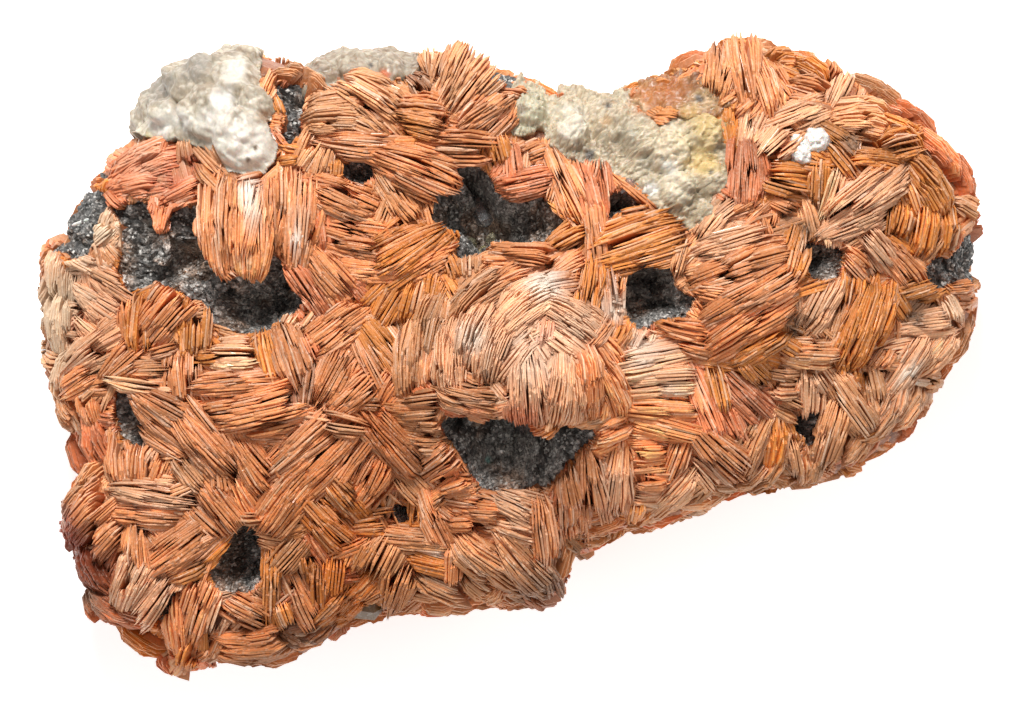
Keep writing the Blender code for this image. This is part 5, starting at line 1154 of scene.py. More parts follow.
    @staticmethod
    def atlas(total: int, inner: int, corners: int) -> Array:
        """Texture places of all corners: each plate has a cell three times as wide as high, with its
        sides under one another in it and each point beside the side that it closes."""
        columns = math.ceil(math.sqrt(total / 3))
        rows = math.ceil(total / columns)
        index = np.arange(total)
        cell = np.stack([index % columns / columns, index // columns / rows], axis=1)[:, None, :]
        scale = np.array([1 / columns, 1 / rows])
        u = np.linspace(0.22, 0.78, inner)
        v = np.linspace(0.06, 0.94, corners + 1)
        u0, v0 = np.meshgrid(u[:-1], v[:-1], indexing="ij")
        u1, v1 = np.meshgrid(u[1:], v[1:], indexing="ij")
        sides = np.stack([np.stack(pair, -1) for pair in ((u0, v0), (u0, v1), (u1, v1), (u1, v0))], axis=2)
        low, high, half = v[:-1], v[1:], (v[:-1] + v[1:]) / 2
        near, far = np.full(corners, u[0]), np.full(corners, u[-1])
        start = np.stack([np.stack(p, -1) for p in ((near, high), (near, low), (near * 0.1, half))], axis=1)
        stop = np.stack([np.stack(p, -1) for p in ((far, low), (far, high), (far * 0 + 0.98, half))], axis=1)

        def placed(shape: Array) -> Array:
            """A shape in every plate's cell."""
            return (cell + shape.reshape(1, -1, 2) * scale).reshape(-1, 2)

        return np.concatenate([placed(sides), placed(start), placed(stop)])


def stained(places: Array) -> tuple[Array, Array, Array]:
    """How broad painted shade and light and the coloured spots change plates: each has the share exp(-r^2) of its
    strength at a place.

    Args:
        places: Places on the face, with x and y first on the last axis.

    Returns:
        The product of the painted darkening and lightening factors, the colour of the spots, and their share.
    """
    x, y = places[..., 0], places[..., 1]
    painted_light_factor = np.ones((*x.shape, 3))
    for across, up, reach, colour in PAINTED_TONE_SHADE_AND_LIGHT:
        near = np.exp(-((x - across) ** 2 + (y - up) ** 2) / reach**2)[..., None]
        painted_light_factor *= 1 + near * (np.array(colour) - 1)
    colours, shares = np.zeros((*x.shape, 3)), np.full((*x.shape, 1), 1e-9)
    for across, up, reach, strength, colour in PLATE_SPOTS_AND_PAINTED_LIGHT:
        near = strength * np.exp(-(((x - across) ** 2 + (y - up) ** 2) / reach**2) ** 1.5)[..., None]
        colours += near * np.array(colour)
        shares += near
    return painted_light_factor, colours / shares, np.minimum(shares, 0.92)


def varied(tones: Array, rng: np.random.Generator) -> Array:
    """Plate colours round their book's tone: some darker or paler, a few nearly cream or deep red."""
    total = len(tones)
    light = np.exp(rng.normal(0, 0.05, (total, 1)))
    cream = rng.random((total, 1)) ** 6 * 0.60
    deep = rng.random((total, 1)) ** 6 * 0.40
    result = tones * light
    result = result * (1 - deep) + np.array([0.30, 0.085, 0.040]) * deep
    result = result * (1 - cream) + np.array([0.82, 0.60, 0.46]) * cream
    return np.clip(result, 0.01, 0.92)


@dataclass
class FillerBooks:
    """Small books that close the room between the ones read from the photograph."""

    read: list[Book]
    spacing: float = 0.5
    most: int = 520
    seed: int = 11

    def build(self) -> list[Book]:
        """Sets one book after another where most of its spindle is still bare.

        Each starts from a random bare place, tries seven headings within 80 degrees of the nearest book's
        and three lengths, and takes the one that covers most bare ground for the ground it takes up.

        Returns:
            The added books.
        """
        rng = np.random.default_rng(self.seed)
        xs = np.arange(-60, 60, self.spacing)
        ys = np.arange(-42, 42, self.spacing)
        x, y = np.meshgrid(xs, ys)
        taken = FORM.share(x, y) > 0.93
        for corners in (*BARE, *(corners for _, corners in PALE_CRUSTS.values())):
            taken |= inside(corners, x, y)
        for book in self.read:
            taken |= book.covers(x, y, 0.9)
        read_x = np.array([book.x for book in self.read])
        read_y = np.array([book.y for book in self.read])
        added: list[Book] = []
        for _ in range(self.most):
            bare = np.flatnonzero(~taken.ravel())
            if len(bare) < 40:
                break
            start = bare[rng.integers(len(bare))]
            px, py = x.ravel()[start], y.ravel()[start]
            near = int(np.argmin((read_x - px) ** 2 + (read_y - py) ** 2))
            best = None
            first = self.read[near].heading + rng.uniform(-20, 20)
            for step in (-3, -2, -1, 0, 1, 2, 3):
                for length, width in ((4.2, 1.7), (5.6, 2.1), (7.2, 2.6)):
                    trial = Book(px, py, first + step * 20, length, width, 1.0, 0.0, 0.0, "S")
                    spot = (abs(x - px) < 4) & (abs(y - py) < 4)
                    cover = trial.covers(x[spot], y[spot])
                    gain = (cover & ~taken[spot]).sum()
                    score = gain - 0.55 * (cover.sum() - gain)
                    if best is None or score > best[0]:
                        best = (score, trial)
            trial = best[1]
            rise = self.read[near].rise * rng.uniform(0.35, 0.75)
            code = self.read[near].code[0] if rng.random() < 0.75 else rng.choice(list("SOTBR"))
            added.append(Book(
                trial.x, trial.y, trial.heading, trial.length * rng.uniform(1.0, 1.2), trial.width * 1.15,
                rise, rng.uniform(-0.1, 0.3), rng.uniform(-22, 22), str(code),
            ))
            taken |= added[-1].covers(x, y, 0.95)
        return added


@dataclass
class RimBooks:
    """Small books along the windows' rims, whose plates end at the bare galena."""

    step: float = 1.3
    outside: float = 0.7
    seed: int = 37

    def build(self) -> list[Book]:
        """Walks round each window and sets a book at each step, roughly square to the rim."""
        rng = np.random.default_rng(self.seed)
        added = []
        for corners in BARE:
            rim = grown(corners, self.outside)
            for (ax, ay), (bx, by) in zip(rim, rim[1:] + rim[:1]):
                edge = math.hypot(bx - ax, by - ay)
                across = math.degrees(math.atan2(by - ay, bx - ax)) + 90
                for number in range(round(edge / self.step)):
                    t = (number + 0.5) * self.step / edge
                    added.append(Book(
                        ax + (bx - ax) * t, ay + (by - ay) * t, across + rng.uniform(-40, 40),
                        rng.uniform(2.2, 3.4), 1.6, rng.uniform(0.2, 0.9), 0.1, 0.0, rng.choice(list("SSBOR")),
                    ))
        return [book for book in added if FORM.share(np.array(book.x), np.array(book.y)) < 0.97]


@dataclass
class SideBooks:
    """Books on the specimen's sides, which the photograph doesn't show: small, in all directions."""

    count: int = 420
    sunk: float = 1.6
    seed: int = 23

    def build(self) -> Plates:
        """Spreads books evenly round the hub and up the side, by the golden section, each on the
        surface with its crests outwards."""
        rng = np.random.default_rng(self.seed)
        index = np.arange(self.count)
        angle = (index * 0.6180339887 % 1.0) * 2 * math.pi - math.pi
        rise = -0.62 + 0.98 * (index + 0.5) / self.count
        keep = ~self.bare(angle, rise)
        angle, rise = angle[keep], rise[keep]
        place, normal, level = FORM.frames(angle, rise)
        place = place - normal * self.sunk
        steep = np.cross(normal, level)
        turn = rng.uniform(0, math.pi, len(angle))[:, None]
        way = level * np.cos(turn) + steep * np.sin(turn)
        codes = rng.choice(list("SSBRTO"), len(angle))
        books = [
            Book(0, 0, 0, length, width, tall, fan, bend, str(code))
            for length, width, tall, fan, bend, code in zip(
                rng.uniform(5.0, 9.0, len(angle)), rng.uniform(2.4, 4.2, len(angle)),
                rng.uniform(1.3, 2.4, len(angle)), rng.uniform(0, 0.15, len(angle)),
                rng.uniform(-12, 12, len(angle)), codes,
            )
        ]
        plates = Plates.spread(books, place, way, normal, np.zeros(len(books), bool), self.seed, 0.22)
        base = plates.lines(plates.STATIONS)
        return plates.chosen(FORM.share(base[..., 0], base[..., 1]).max(axis=1) < 1.015)

    @staticmethod
    def bare(angle: Array, rise: Array) -> Array:
        """True where galena or a pale crust reaches down the side."""
        place = FORM.points(angle, rise, lambda x, y: np.zeros(np.shape(x)))
        result = np.zeros(len(angle), bool)
        for low, corners in [*WINDOWS.values(), *((12.0, corners) for _, corners in PALE_CRUSTS.values())]:
            result |= inside(corners, place[:, 0], place[:, 1]) & (place[:, 2] > low)
        return result


@dataclass
class BarytePiece:
    """One named piece of plates."""

    name: str
    plates: Plates

    def build(self, shift: Array, finish: bpy.types.Material) -> bpy.types.Object:
        """Makes the piece and dresses it."""
        obj = self.plates.build().made(self.name, shift)
        obj.data.materials.append(finish)
        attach(obj, "root")
        return obj


@dataclass(frozen=True)
class Spot:
    """A small coloured patch, used for real marks and also for painted shadows: its middle, reach, linear colour
    and how strongly it covers.
    """

    x: float
    y: float
    reach: float
    colour: tuple[float, float, float]
    cover: float = 0.9

    def paint(self, points: Array, colours: Array) -> Array:
        """Mixes the spot's colour in by cover * exp(-(distance / reach)^4), over a ragged edge."""
        wander = 1 + 0.35 * soft_noise(points, max(self.reach * 0.6, 0.25), 31)
        away = np.hypot(points[:, 0] - self.x, points[:, 1] - self.y) / (self.reach * wander)
        share = (self.cover * np.exp(-np.clip(away, 0, 4) ** 4))[:, None]
        return np.column_stack([colours[:, :3] * (1 - share) + np.array(self.colour) * share, colours[:, 3:]])


@dataclass(frozen=True)
class Rock:
    """Granular galena: loose grains of two sizes with flat, tilted tops and dark grooves between them."""

    grain: float = 1.0
    height: float = 0.62
    stains: tuple[Spot, ...] = ()

    def rough(self, points: Array) -> Array:
        """How far the surface stands out: grains of different heights, grooves, and soft swells."""
        near, next_near, owner = grains(points, self.grain, 3)
        _, _, small = grains(points, self.grain * 0.42, 9)
        groove = np.exp(-(((next_near - near) / 0.16) ** 2))
        swell = layered_noise(points, 3.2, 12, 2)
        return self.height * (owner - 0.5 - 0.45 * groove + 0.30 * (small - 0.5)) + 0.30 * swell

    def colour(self, points: Array, bumps: Array) -> Array:
        """Dark lead grey, light and dark by grain, painted shade in the grooves, a few glossy grains painted
        lighter as glints, painted light deep in the pits, and brown dust in soft patches.
        """
        near, next_near, owner = grains(points, self.grain, 3)
        _, _, small = grains(points, self.grain * 0.42, 9)
        groove = np.exp(-(((next_near - near) / 0.16) ** 2))
        # The grooves between grains are darkened as painted shade.
        light = 0.105 + 0.065 * owner**2 + 0.04 * small**3 - 0.065 * groove
        # A few grains get a lighter colour as a painted glint, besides their real high gloss.
        bright = owner > 0.9
        light = np.where(bright, light + 0.12, light)
        # Deeper in the pits the grey is up to three times lighter: painted light.
        sunk = np.clip((galena_depth(points[:, 0], points[:, 1]) - 4) / 6, 0, 1)
        light = light * (1 + 2.0 * sunk)
        dust = np.clip(layered_noise(points, 4.5, 40, 2) * 1.3 - 0.15, 0, 0.55)[:, None]
        grey = light[:, None] * np.array([1.04, 0.98, 0.90])
        brown = light[:, None] * np.array([1.8, 1.10, 0.68])
        gloss = np.where(bright, 0.95, 0.35 + 0.35 * small)
        colours = np.column_stack([grey * (1 - dust) + brown * dust, gloss])
        for stain_and_painted_light in self.stains:
            colours = stain_and_painted_light.paint(points, colours)
        return colours


@dataclass(frozen=True)
class PolarNet:
    """A closed body over the whole form: rows round the hub, evenly spread along the section."""

    columns: int
    rows: int

    def build(self, depth: Relief, rough: Callable[[Array], Array],
              colour: Callable[[Array, Array], Array]) -> MeshParts:
        """Works out the net and closes it with a point at each end.

        Args:
            depth: How far under the form it lies at x and y.
            rough: How far it stands out at each place, along the form's normal.
            colour: Colour and gloss of each point, from its place and its bump.

        Returns:
            The closed body, flat on the floor.
        """
        fine = np.linspace(-math.pi / 2 + 0.02, math.pi / 2 - 1e-4, 3000)
        track = FORM.points(np.full(3000, 0.4), fine, depth)
        run = np.concatenate([[0], np.cumsum(np.hypot(*np.diff(track[:, [0, 2]], axis=0).T))])
        rise = np.interp(np.linspace(0, run[-1], self.rows), run, fine)
        angle = np.arange(self.columns) / self.columns * 2 * math.pi
        rises, angles = np.meshgrid(rise, angle, indexing="ij")
        flat = angles.ravel(), rises.ravel()
        points = FORM.points(*flat, depth)
        _, normal, _ = FORM.frames(*flat)
        bumps = rough(points)
        above = np.clip(points[:, 2] / 2.0, 0, 1)
        moved = points + normal * (bumps * above)[:, None]
        moved[:, 2] = np.where(points[:, 2] < 0.01, 0, np.maximum(moved[:, 2], 0))
        colours = colour(points, bumps)
        number = np.arange(rises.size).reshape(rises.shape)
        turned = np.roll(number, -1, axis=1)
        quads = np.stack([number[:-1], turned[:-1], turned[1:], number[1:]], axis=-1).reshape(-1, 4)
        bottom, top = rises.size, rises.size + 1
        ends = np.array([moved[number[0]].mean(axis=0), moved[number[-1]].mean(axis=0)])
        fans = np.concatenate([
            np.stack([turned[0], number[0], np.full(self.columns, bottom)], axis=1),
            np.stack([number[-1], turned[-1], np.full(self.columns, top)], axis=1),
        ])
        return MeshParts(
            np.concatenate([moved, ends]), quads, fans,
            np.concatenate([colours, colours[number[0, :1]], colours[number[-1, :1]]]),
        )


@dataclass(frozen=True)
class BariteGround:
    """What the books grow from, in place of their solid: dark red-brown, a little under their feet.

    Where galena is bare it dips under the galena's skins, and near the floor under the rock's foot.
    """

    books: list[Book]
    under: float = 0.35
    columns: int = 300
    rows: int = 120

    def depth(self, x: Array, y: Array) -> Array:
        """Under the form by the same depth less the books' swells, and by the galena's and a little more
        inside the outlines."""
        swells = np.zeros(np.shape(x))
        for book in self.books:
            swells = np.maximum(swells, book.swell(x, y))
        for corners in (*BARE, *(corners for _, corners in PALE_CRUSTS.values())):
            swells = swells * np.clip((signed_distance(corners, x, y) - 0.2) / 1.4, 0, 1)
        total = self.under - swells * np.clip((0.96 - FORM.share(x, y)) / 0.08, 0, 1)
        for corners in BARE:
            inwards = np.clip(0.3 - signed_distance(corners, x, y), 0, 0.8) / 0.8
            total = np.maximum(total, self.under + (galena_depth(x, y) + 0.8 - self.under) * inwards)
        return total

    @staticmethod
    def rough(points: Array) -> Array:
        """Short ridges in changing directions, and the dip under a ragged line over the floor."""
        ridge = soft_noise(points * np.array([1.0, 0.3, 0.5]), 0.5, 71)
        other = soft_noise(points * np.array([0.3, 1.0, 0.5]), 0.5, 72)
        patch = soft_noise(points, 5.0, 73) > 0
        skirt = np.clip(6.5 + 2.0 * layered_noise(points, 5.0, 74, 2) - points[:, 2], 0, 1.5) / 1.5
        return np.where(patch, ridge, other) * 0.3 - 6.5 * skirt

    @staticmethod
    def colour(points: Array, bumps: Array) -> Array:
        """Red-brown, with painted light on the ridges and painted shade in the lows, darkest where it dips near
        the floor.
        """
        light = (0.85 + np.clip(bumps, -0.4, 0.4) * 1.3)[:, None]
        return np.column_stack([np.array([0.34, 0.120, 0.050]) * light, np.full(len(points), 0.2)])

    def build(self) -> MeshParts:
        """The closed body."""
        return PolarNet(self.columns, self.rows).build(self.depth, self.rough, self.colour)


def grown(corners: list[tuple[float, float]], by: float) -> list[tuple[float, float]]:
    """A polygon with each corner moved away from its middle."""
    points = np.array(corners)
    middle = points.mean(axis=0)
    away = points - middle
    return [tuple(p) for p in middle + away * (1 + by / np.linalg.norm(away, axis=1, keepdims=True))]


@dataclass
class GalenaWindows:
    """Fine granular skins where the galena shows: a little over the rough body, and up the pits' walls."""

    look: Rock
    spacing: float = 0.24
    margin: float = 0.9
    wall: float = 1.1
    lower: float = 1.9
    brim: float = 0.6

    def build(self) -> MeshParts:
        """One closed skin for each bare outline, and thin ones where galena lies on top of the barite."""
        parts = []
        for corners in BARE:
            shell = Shell(
                corners, self.spacing, self.pit(corners), 1.0, self.look.rough, 9.0, 0.5, self.margin, 0.3,
            )
            parts.append(shell.build(self.look.colour))
        for corners in GALENA_SKINS:
            shell = Shell(corners, self.spacing, self.flush, 1.5, self.look.rough, 12.0, 0.5)
            parts.append(shell.build(self.look.colour))
        return joined(parts)

    @staticmethod
    def flush(x: Array, y: Array) -> Array:
        """A depth of nearly nothing."""
        return np.full(np.shape(x), -0.05)

    def pit(self, corners: list[tuple[float, float]]) -> Relief:
        """Depth in a pit: the brim's at the outline, and the galena's from a wall's width inwards, which
        is steep at the pit's upper end and gentle at its lower one."""
        def depth(x: Array, y: Array) -> Array:
            """Blends both depths by 3t^2 - 2t^3."""
            top, bottom = max(p[1] for p in corners), min(p[1] for p in corners)
            wall = self.wall * (1 + self.lower * np.clip((top - y) / (top - bottom), 0, 1))
            t = np.clip(-signed_distance(corners, x, y) / wall, 0, 1)
            t = t * t * (3 - 2 * t)
            return self.brim * (1 - t) + (galena_depth(x, y) - 0.12) * t

        return depth


@dataclass(frozen=True)
class CrustLook:
    """A pale crust: its base and groove colours, the size of its grains, its spots and how it bulges."""

    base: tuple[float, float, float]
    groove: tuple[float, float, float]
    grain: float
    height: float
    round_grains: bool
    spots: tuple[Spot, ...]
    fibre: float = 0.0
    swell: float = 0.5

    def rough(self, points: Array) -> Array:
        """How far the skin stands out: round or broken grains, soft swells and fine fibres along X."""
        near, next_near, owner = grains(points, self.grain, 17)
        if self.round_grains:
            bumps = np.sqrt(np.clip(1 - near**2, 0, 1)) - 0.45
        else:
            bumps = owner - 0.5 - 0.6 * np.exp(-(((next_near - near) / 0.18) ** 2))
        fine = layered_noise(points, self.grain * 0.35, 21, 2) * 0.18
        along = soft_noise(points * np.array([0.16, 1, 1]), 0.32, 25) * self.fibre
        swell = layered_noise(points, 2.8, 27, 3) * self.swell
        return self.height * (bumps + fine) + along + swell

    def colour(self, points: Array, bumps: Array) -> Array:
        """Base colour with lighter and darker grains, the groove colour as painted shade in the lows between
        grains and as real colour in broad blotches, then the spots.
        """
        near, next_near, owner = grains(points, self.grain, 17)
        low = np.exp(-(((next_near - near) / 0.22) ** 2)) * 0.55
        blotch = np.clip(layered_noise(points, 3.0, 50, 3) * 0.7, -0.5, 0.9)
        share = np.clip(low + np.maximum(blotch, 0) * 0.7, 0, 1)[:, None]
        light = (0.88 + 0.24 * owner + 0.10 * soft_noise(points, 0.4, 52))[:, None]
        colours = (np.array(self.base) * (1 - share) + np.array(self.groove) * share) * light
        colours = np.column_stack([np.clip(colours, 0, 0.95), 0.2 + 0.5 * (owner > 0.8)])
        for spot in self.spots:
            colours = spot.paint(points, colours)
        return colours


@dataclass
class PaleCrust:
    """A pale crust over the upper edge, in place of its solid."""

    node: str
    slot: str
    look: CrustLook
    spacing: float = 0.2

    def build(self) -> MeshParts:
        """The crust's closed skin, standing over the form by its stand and its lumps."""
        stand, corners = PALE_CRUSTS[self.node]
        lumps = CRUST_LUMPS[self.node]
        shell = Shell(
            corners, self.spacing, lambda x, y: -stand - lump_heights(x, y, lumps), 3.2,
            self.look.rough, 11.5, 0.6,
        )
        return shell.build(self.look.colour)


@dataclass
class Nodule:
    """The bright white nodule: lobes of one ball each, sugary."""

    columns: int = 72
    rows: int = 44

    def build(self) -> MeshParts:
        """Balls with points at radius * (1 + noise), closed by a point at each pole."""
        parts = []
        for x, y, radius, rise in NODULE_LOBES:
            place = np.array([x, y, float(FORM.height(np.array(x), np.array(y))) - 1.0])
            size = np.array([radius * 1.2, radius * 1.2, rise * 1.25])
            parts.append(ball(place, size, self.columns, self.rows, self.rough, self.colour))
        return joined(parts)

    @staticmethod
    def rough(points: Array) -> Array:
        """Relative bumps: round grains and fine noise."""
        near, _, _ = grains(points, 0.75, 61)
        return 0.16 * (1 - near) + 0.05 * layered_noise(points, 0.35, 63, 2)

    @staticmethod
    def colour(points: Array, bumps: Array) -> Array:
        """Nearly white on the grains and a little grey in the lows: painted light and shade by its bumps."""
        light = np.clip(0.66 + bumps * 1.6, 0.45, 0.9)
        return np.column_stack([light, light * 0.95, light * 0.88, np.full(len(points), 0.4)])


def ball(
    place: Array, size: Array, columns: int, rows: int, rough: Callable[[Array], Array],
    colour: Callable[[Array, Array], Array],
) -> MeshParts:
    """A closed ball with bumps.

    Args:
        place: Its middle.
        size: Its three radii.
        columns: Points round it.
        rows: Rings from pole to pole.
        rough: Share of its radius that each point stands out.
        colour: Colour of each point, from its place and its bump.

    Returns:
        The ball: directions (cos a sin b, sin a sin b, cos b) times size * (1 + bump).
    """
    turn = np.arange(columns) / columns * 2 * math.pi
    tilt = np.linspace(0.04, math.pi - 0.04, rows)
    b, a = np.meshgrid(tilt, turn, indexing="ij")
    way = np.stack([np.cos(a) * np.sin(b), np.sin(a) * np.sin(b), np.cos(b)], axis=-1).reshape(-1, 3)
    bare = np.concatenate([place + way * size, [place + [0, 0, size[2]], place - [0, 0, size[2]]]])
    bumps = rough(bare)
    points = place + (bare - place) * (1 + bumps)[:, None]
    number = np.arange(rows * columns).reshape(rows, columns)
    turned = np.roll(number, -1, axis=1)
    quads = np.stack([number[:-1], number[1:], turned[1:], turned[:-1]], axis=-1).reshape(-1, 4)
    top, bottom = rows * columns, rows * columns + 1
    fans = np.concatenate([
        np.stack([number[0], turned[0], np.full(columns, top)], axis=1),
        np.stack([turned[-1], number[-1], np.full(columns, bottom)], axis=1),
    ])
    return MeshParts(points, quads, fans, colour(bare, bumps))


@dataclass(frozen=True)
class Crystal:
    """A small six-sided crystal that stands or lies on the surface.

    Heading and lean are in degrees: lean 0 lies flat along the heading, 90 stands up.
    """

    x: float
    y: float
    heading: float
    lean: float
    length: float
    width: float
    thick: float
    colour: tuple[float, float, float] = (0.8, 0.8, 0.8)
    lift: float = 0.3
    galena: bool = False

    def build(self) -> MeshParts:
        """Rings of six points along it: a small one at each end and full ones between."""
        depth = float(galena_depth(np.array(self.x), np.array(self.y))) if self.galena else 0.0
        ground = float(FORM.height(np.array(self.x), np.array(self.y))) - depth
        angle, lean = math.radians(self.heading), math.radians(self.lean)
        along = np.array([math.cos(angle) * math.cos(lean), math.sin(angle) * math.cos(lean), math.sin(lean)])
        side = np.array([-math.sin(angle), math.cos(angle), 0.0])
        up = np.cross(along, side)
        rings = np.array([(-0.5, 0.45), (-0.38, 1.0), (0.34, 0.94), (0.5, 0.35)])
        turn = np.arange(6) / 6 * 2 * math.pi
        reach, share = rings[:, 0, None], rings[:, 1, None]
        points = (
            np.array([self.x, self.y, ground + self.lift])
            + (reach * self.length)[..., None] * along
            + (share * np.cos(turn) * self.width / 2)[..., None] * side
            + (share * np.sin(turn) * self.thick / 2)[..., None] * up
        ).reshape(-1, 3)
        number = np.arange(24).reshape(4, 6)
        turned = np.roll(number, -1, axis=1)
        quads = np.stack([number[:-1], turned[:-1], turned[1:], number[1:]], axis=-1).reshape(-1, 4)
        near, far = number[0], number[-1]
        caps = np.array([near[[3, 2, 1, 0]], near[[5, 4, 3, 0]], far[[0, 1, 2, 3]], far[[0, 3, 4, 5]]])
        colours = np.tile([*self.colour, 0.8], (24, 1))
        return MeshParts(points, np.concatenate([quads, caps]), colours=colours)


def stone_group() -> bpy.types.NodeTree:
    """The node group that all the stones share.

    It mottles a colour, mixes in rare pale specks as painted glints and, on crusts and barite, real sugary frost,
    and turns gloss into roughness; its outputs feed Base Color, Roughness and Height.

    Returns:
        The group, made on the first call.
    """
    name = "stone_surface"
    if name in bpy.data.node_groups:
        return bpy.data.node_groups[name]
    group = bpy.data.node_groups.new(name, "ShaderNodeTree")
    sockets = (
        ("INPUT", "Colour", "NodeSocketColor"), ("INPUT", "Gloss", "NodeSocketFloat"),
        ("INPUT", "Matte", "NodeSocketFloat"), ("INPUT", "Polished", "NodeSocketFloat"),
        ("INPUT", "Scale", "NodeSocketFloat"), ("INPUT", "Mottle", "NodeSocketFloat"),
        ("INPUT", "Specks", "NodeSocketFloat"), ("INPUT", "Speck Scale", "NodeSocketFloat"),
        ("INPUT", "Speck Colour", "NodeSocketColor"),
        ("OUTPUT", "Colour", "NodeSocketColor"), ("OUTPUT", "Roughness", "NodeSocketFloat"),
        ("OUTPUT", "Height", "NodeSocketFloat"),
    )
    for way, label, kind in sockets:
        group.interface.new_socket(label, in_out=way, socket_type=kind)
    nodes, links = group.nodes, group.links
    given, result = nodes.new("NodeGroupInput"), nodes.new("NodeGroupOutput")
    place = nodes.new("ShaderNodeTexCoord")
    noise = nodes.new("ShaderNodeTexNoise")
    noise.inputs["Detail"].default_value = 4.0
    noise.inputs["Roughness"].default_value = 0.6
    links.new(place.outputs["Object"], noise.inputs["Vector"])
    links.new(given.outputs["Scale"], noise.inputs["Scale"])
    centred = nodes.new("ShaderNodeMath")
    centred.operation = "SUBTRACT"
    centred.inputs[1].default_value = 0.5
    links.new(noise.outputs["Fac"], centred.inputs[0])
    shade = nodes.new("ShaderNodeMath")
    shade.operation = "MULTIPLY_ADD"
    shade.inputs[2].default_value = 1.0
    links.new(centred.outputs[0], shade.inputs[0])
    links.new(given.outputs["Mottle"], shade.inputs[1])
    tint = nodes.new("ShaderNodeVectorMath")
    tint.operation = "SCALE"
    links.new(given.outputs["Colour"], tint.inputs[0])
    links.new(shade.outputs[0], tint.inputs["Scale"])
    cells = nodes.new("ShaderNodeTexVoronoi")
    links.new(place.outputs["Object"], cells.inputs["Vector"])
    links.new(given.outputs["Speck Scale"], cells.inputs["Scale"])
    parts = nodes.new("ShaderNodeSeparateColor")
    links.new(cells.outputs["Color"], parts.inputs["Color"])
    # Rare cells take the speck colour: painted glints, and on the crusts and barite also real sugary frost.
    rare = nodes.new("ShaderNodeMapRange")
    rare.inputs["From Min"].default_value = 0.78
    rare.inputs["To Max"].default_value = 0.9
    links.new(parts.outputs["Red"], rare.inputs["Value"])
    share = nodes.new("ShaderNodeMath")
    share.operation = "MULTIPLY"
    links.new(rare.outputs["Result"], share.inputs[0])
    links.new(given.outputs["Specks"], share.inputs[1])
    uneven = nodes.new("ShaderNodeMapRange")
    links.new(parts.outputs["Green"], uneven.inputs["Value"])
    spread = nodes.new("ShaderNodeMath")
    spread.operation = "MULTIPLY_ADD"
    spread.inputs[1].default_value = -0.75
    spread.inputs[2].default_value = 1.0
    links.new(given.outputs["Specks"], spread.inputs[0])
    links.new(spread.outputs[0], uneven.inputs["To Min"])
    toned = nodes.new("ShaderNodeVectorMath")
    toned.operation = "SCALE"
    links.new(tint.outputs["Vector"], toned.inputs[0])
    links.new(uneven.outputs["Result"], toned.inputs["Scale"])
    raised = nodes.new("ShaderNodeMath")
    raised.operation = "MULTIPLY_ADD"
    links.new(parts.outputs["Green"], raised.inputs[0])
    links.new(given.outputs["Specks"], raised.inputs[1])
    links.new(noise.outputs["Fac"], raised.inputs[2])
    links.new(raised.outputs[0], result.inputs["Height"])
    specked = nodes.new("ShaderNodeMix")
    specked.data_type = "RGBA"
    links.new(given.outputs["Speck Colour"], specked.inputs["B"])
    links.new(share.outputs[0], specked.inputs["Factor"])
    links.new(toned.outputs["Vector"], specked.inputs["A"])
    links.new(specked.outputs["Result"], result.inputs["Colour"])
    sheen = nodes.new("ShaderNodeMapRange")
    links.new(given.outputs["Gloss"], sheen.inputs["Value"])
    links.new(given.outputs["Matte"], sheen.inputs["To Min"])
    links.new(given.outputs["Polished"], sheen.inputs["To Max"])
    links.new(sheen.outputs["Result"], result.inputs["Roughness"])
    return group


@dataclass(frozen=True)
class StoneFinish:
    """A stone whose colour and gloss come from its mesh's "tone" colours."""

    name: str
    matte: float
    polished: float
    scale: float = 2200.0
    mottle: float = 0.5
    specks: float = 0.0
    speck_scale: float = 3000.0
    speck_colour: tuple[float, float, float] = (0.80, 0.77, 0.71)
    bump: float = 0.25
    depth: float = 0.00012
    metallic: float = 0.0
    glow: float = 0.0
    sheen: float = 0.5
    clear: float = 0.0
    index: float = 1.64
    plain: tuple[float, float, float] | None = None

    def material(self) -> bpy.types.Material:
        """Builds the material: tone, through the shared group, into one Principled shader."""
        material = bpy.data.materials.new(self.name)
        material.use_nodes = True
        nodes, links = material.node_tree.nodes, material.node_tree.links
        shader = nodes["Principled BSDF"]
        shader.inputs["Metallic"].default_value = self.metallic
        shader.inputs["IOR"].default_value = self.index
        shader.inputs["Specular IOR Level"].default_value = self.sheen
        shader.inputs["Transmission Weight"].default_value = self.clear
        shader.inputs["Subsurface Weight"].default_value = self.glow
        shader.inputs["Subsurface Radius"].default_value = (1.0, 0.45, 0.25)
        shader.inputs["Subsurface Scale"].default_value = 0.0008
        surface = nodes.new("ShaderNodeGroup")
        surface.node_tree = stone_group()
        settings = {
            "Matte": self.matte, "Polished": self.polished, "Scale": self.scale, "Mottle": self.mottle,
            "Specks": self.specks, "Speck Scale": self.speck_scale,
            "Speck Colour": (*self.speck_colour, 1.0),
        }
        for label, value in settings.items():
            surface.inputs[label].default_value = value
        if self.plain is None:
            tone = nodes.new("ShaderNodeAttribute")
            tone.attribute_name = "tone"
            links.new(tone.outputs["Color"], surface.inputs["Colour"])
            links.new(tone.outputs["Alpha"], surface.inputs["Gloss"])
        else:
            surface.inputs["Colour"].default_value = (*self.plain, 1.0)
        bump = nodes.new("ShaderNodeBump")
        bump.inputs["Strength"].default_value = self.bump
        bump.inputs["Distance"].default_value = self.depth
        links.new(surface.outputs["Height"], bump.inputs["Height"])
        links.new(bump.outputs["Normal"], shader.inputs["Normal"])
        links.new(surface.outputs["Colour"], shader.inputs["Base Color"])
        links.new(surface.outputs["Roughness"], shader.inputs["Roughness"])
        return material


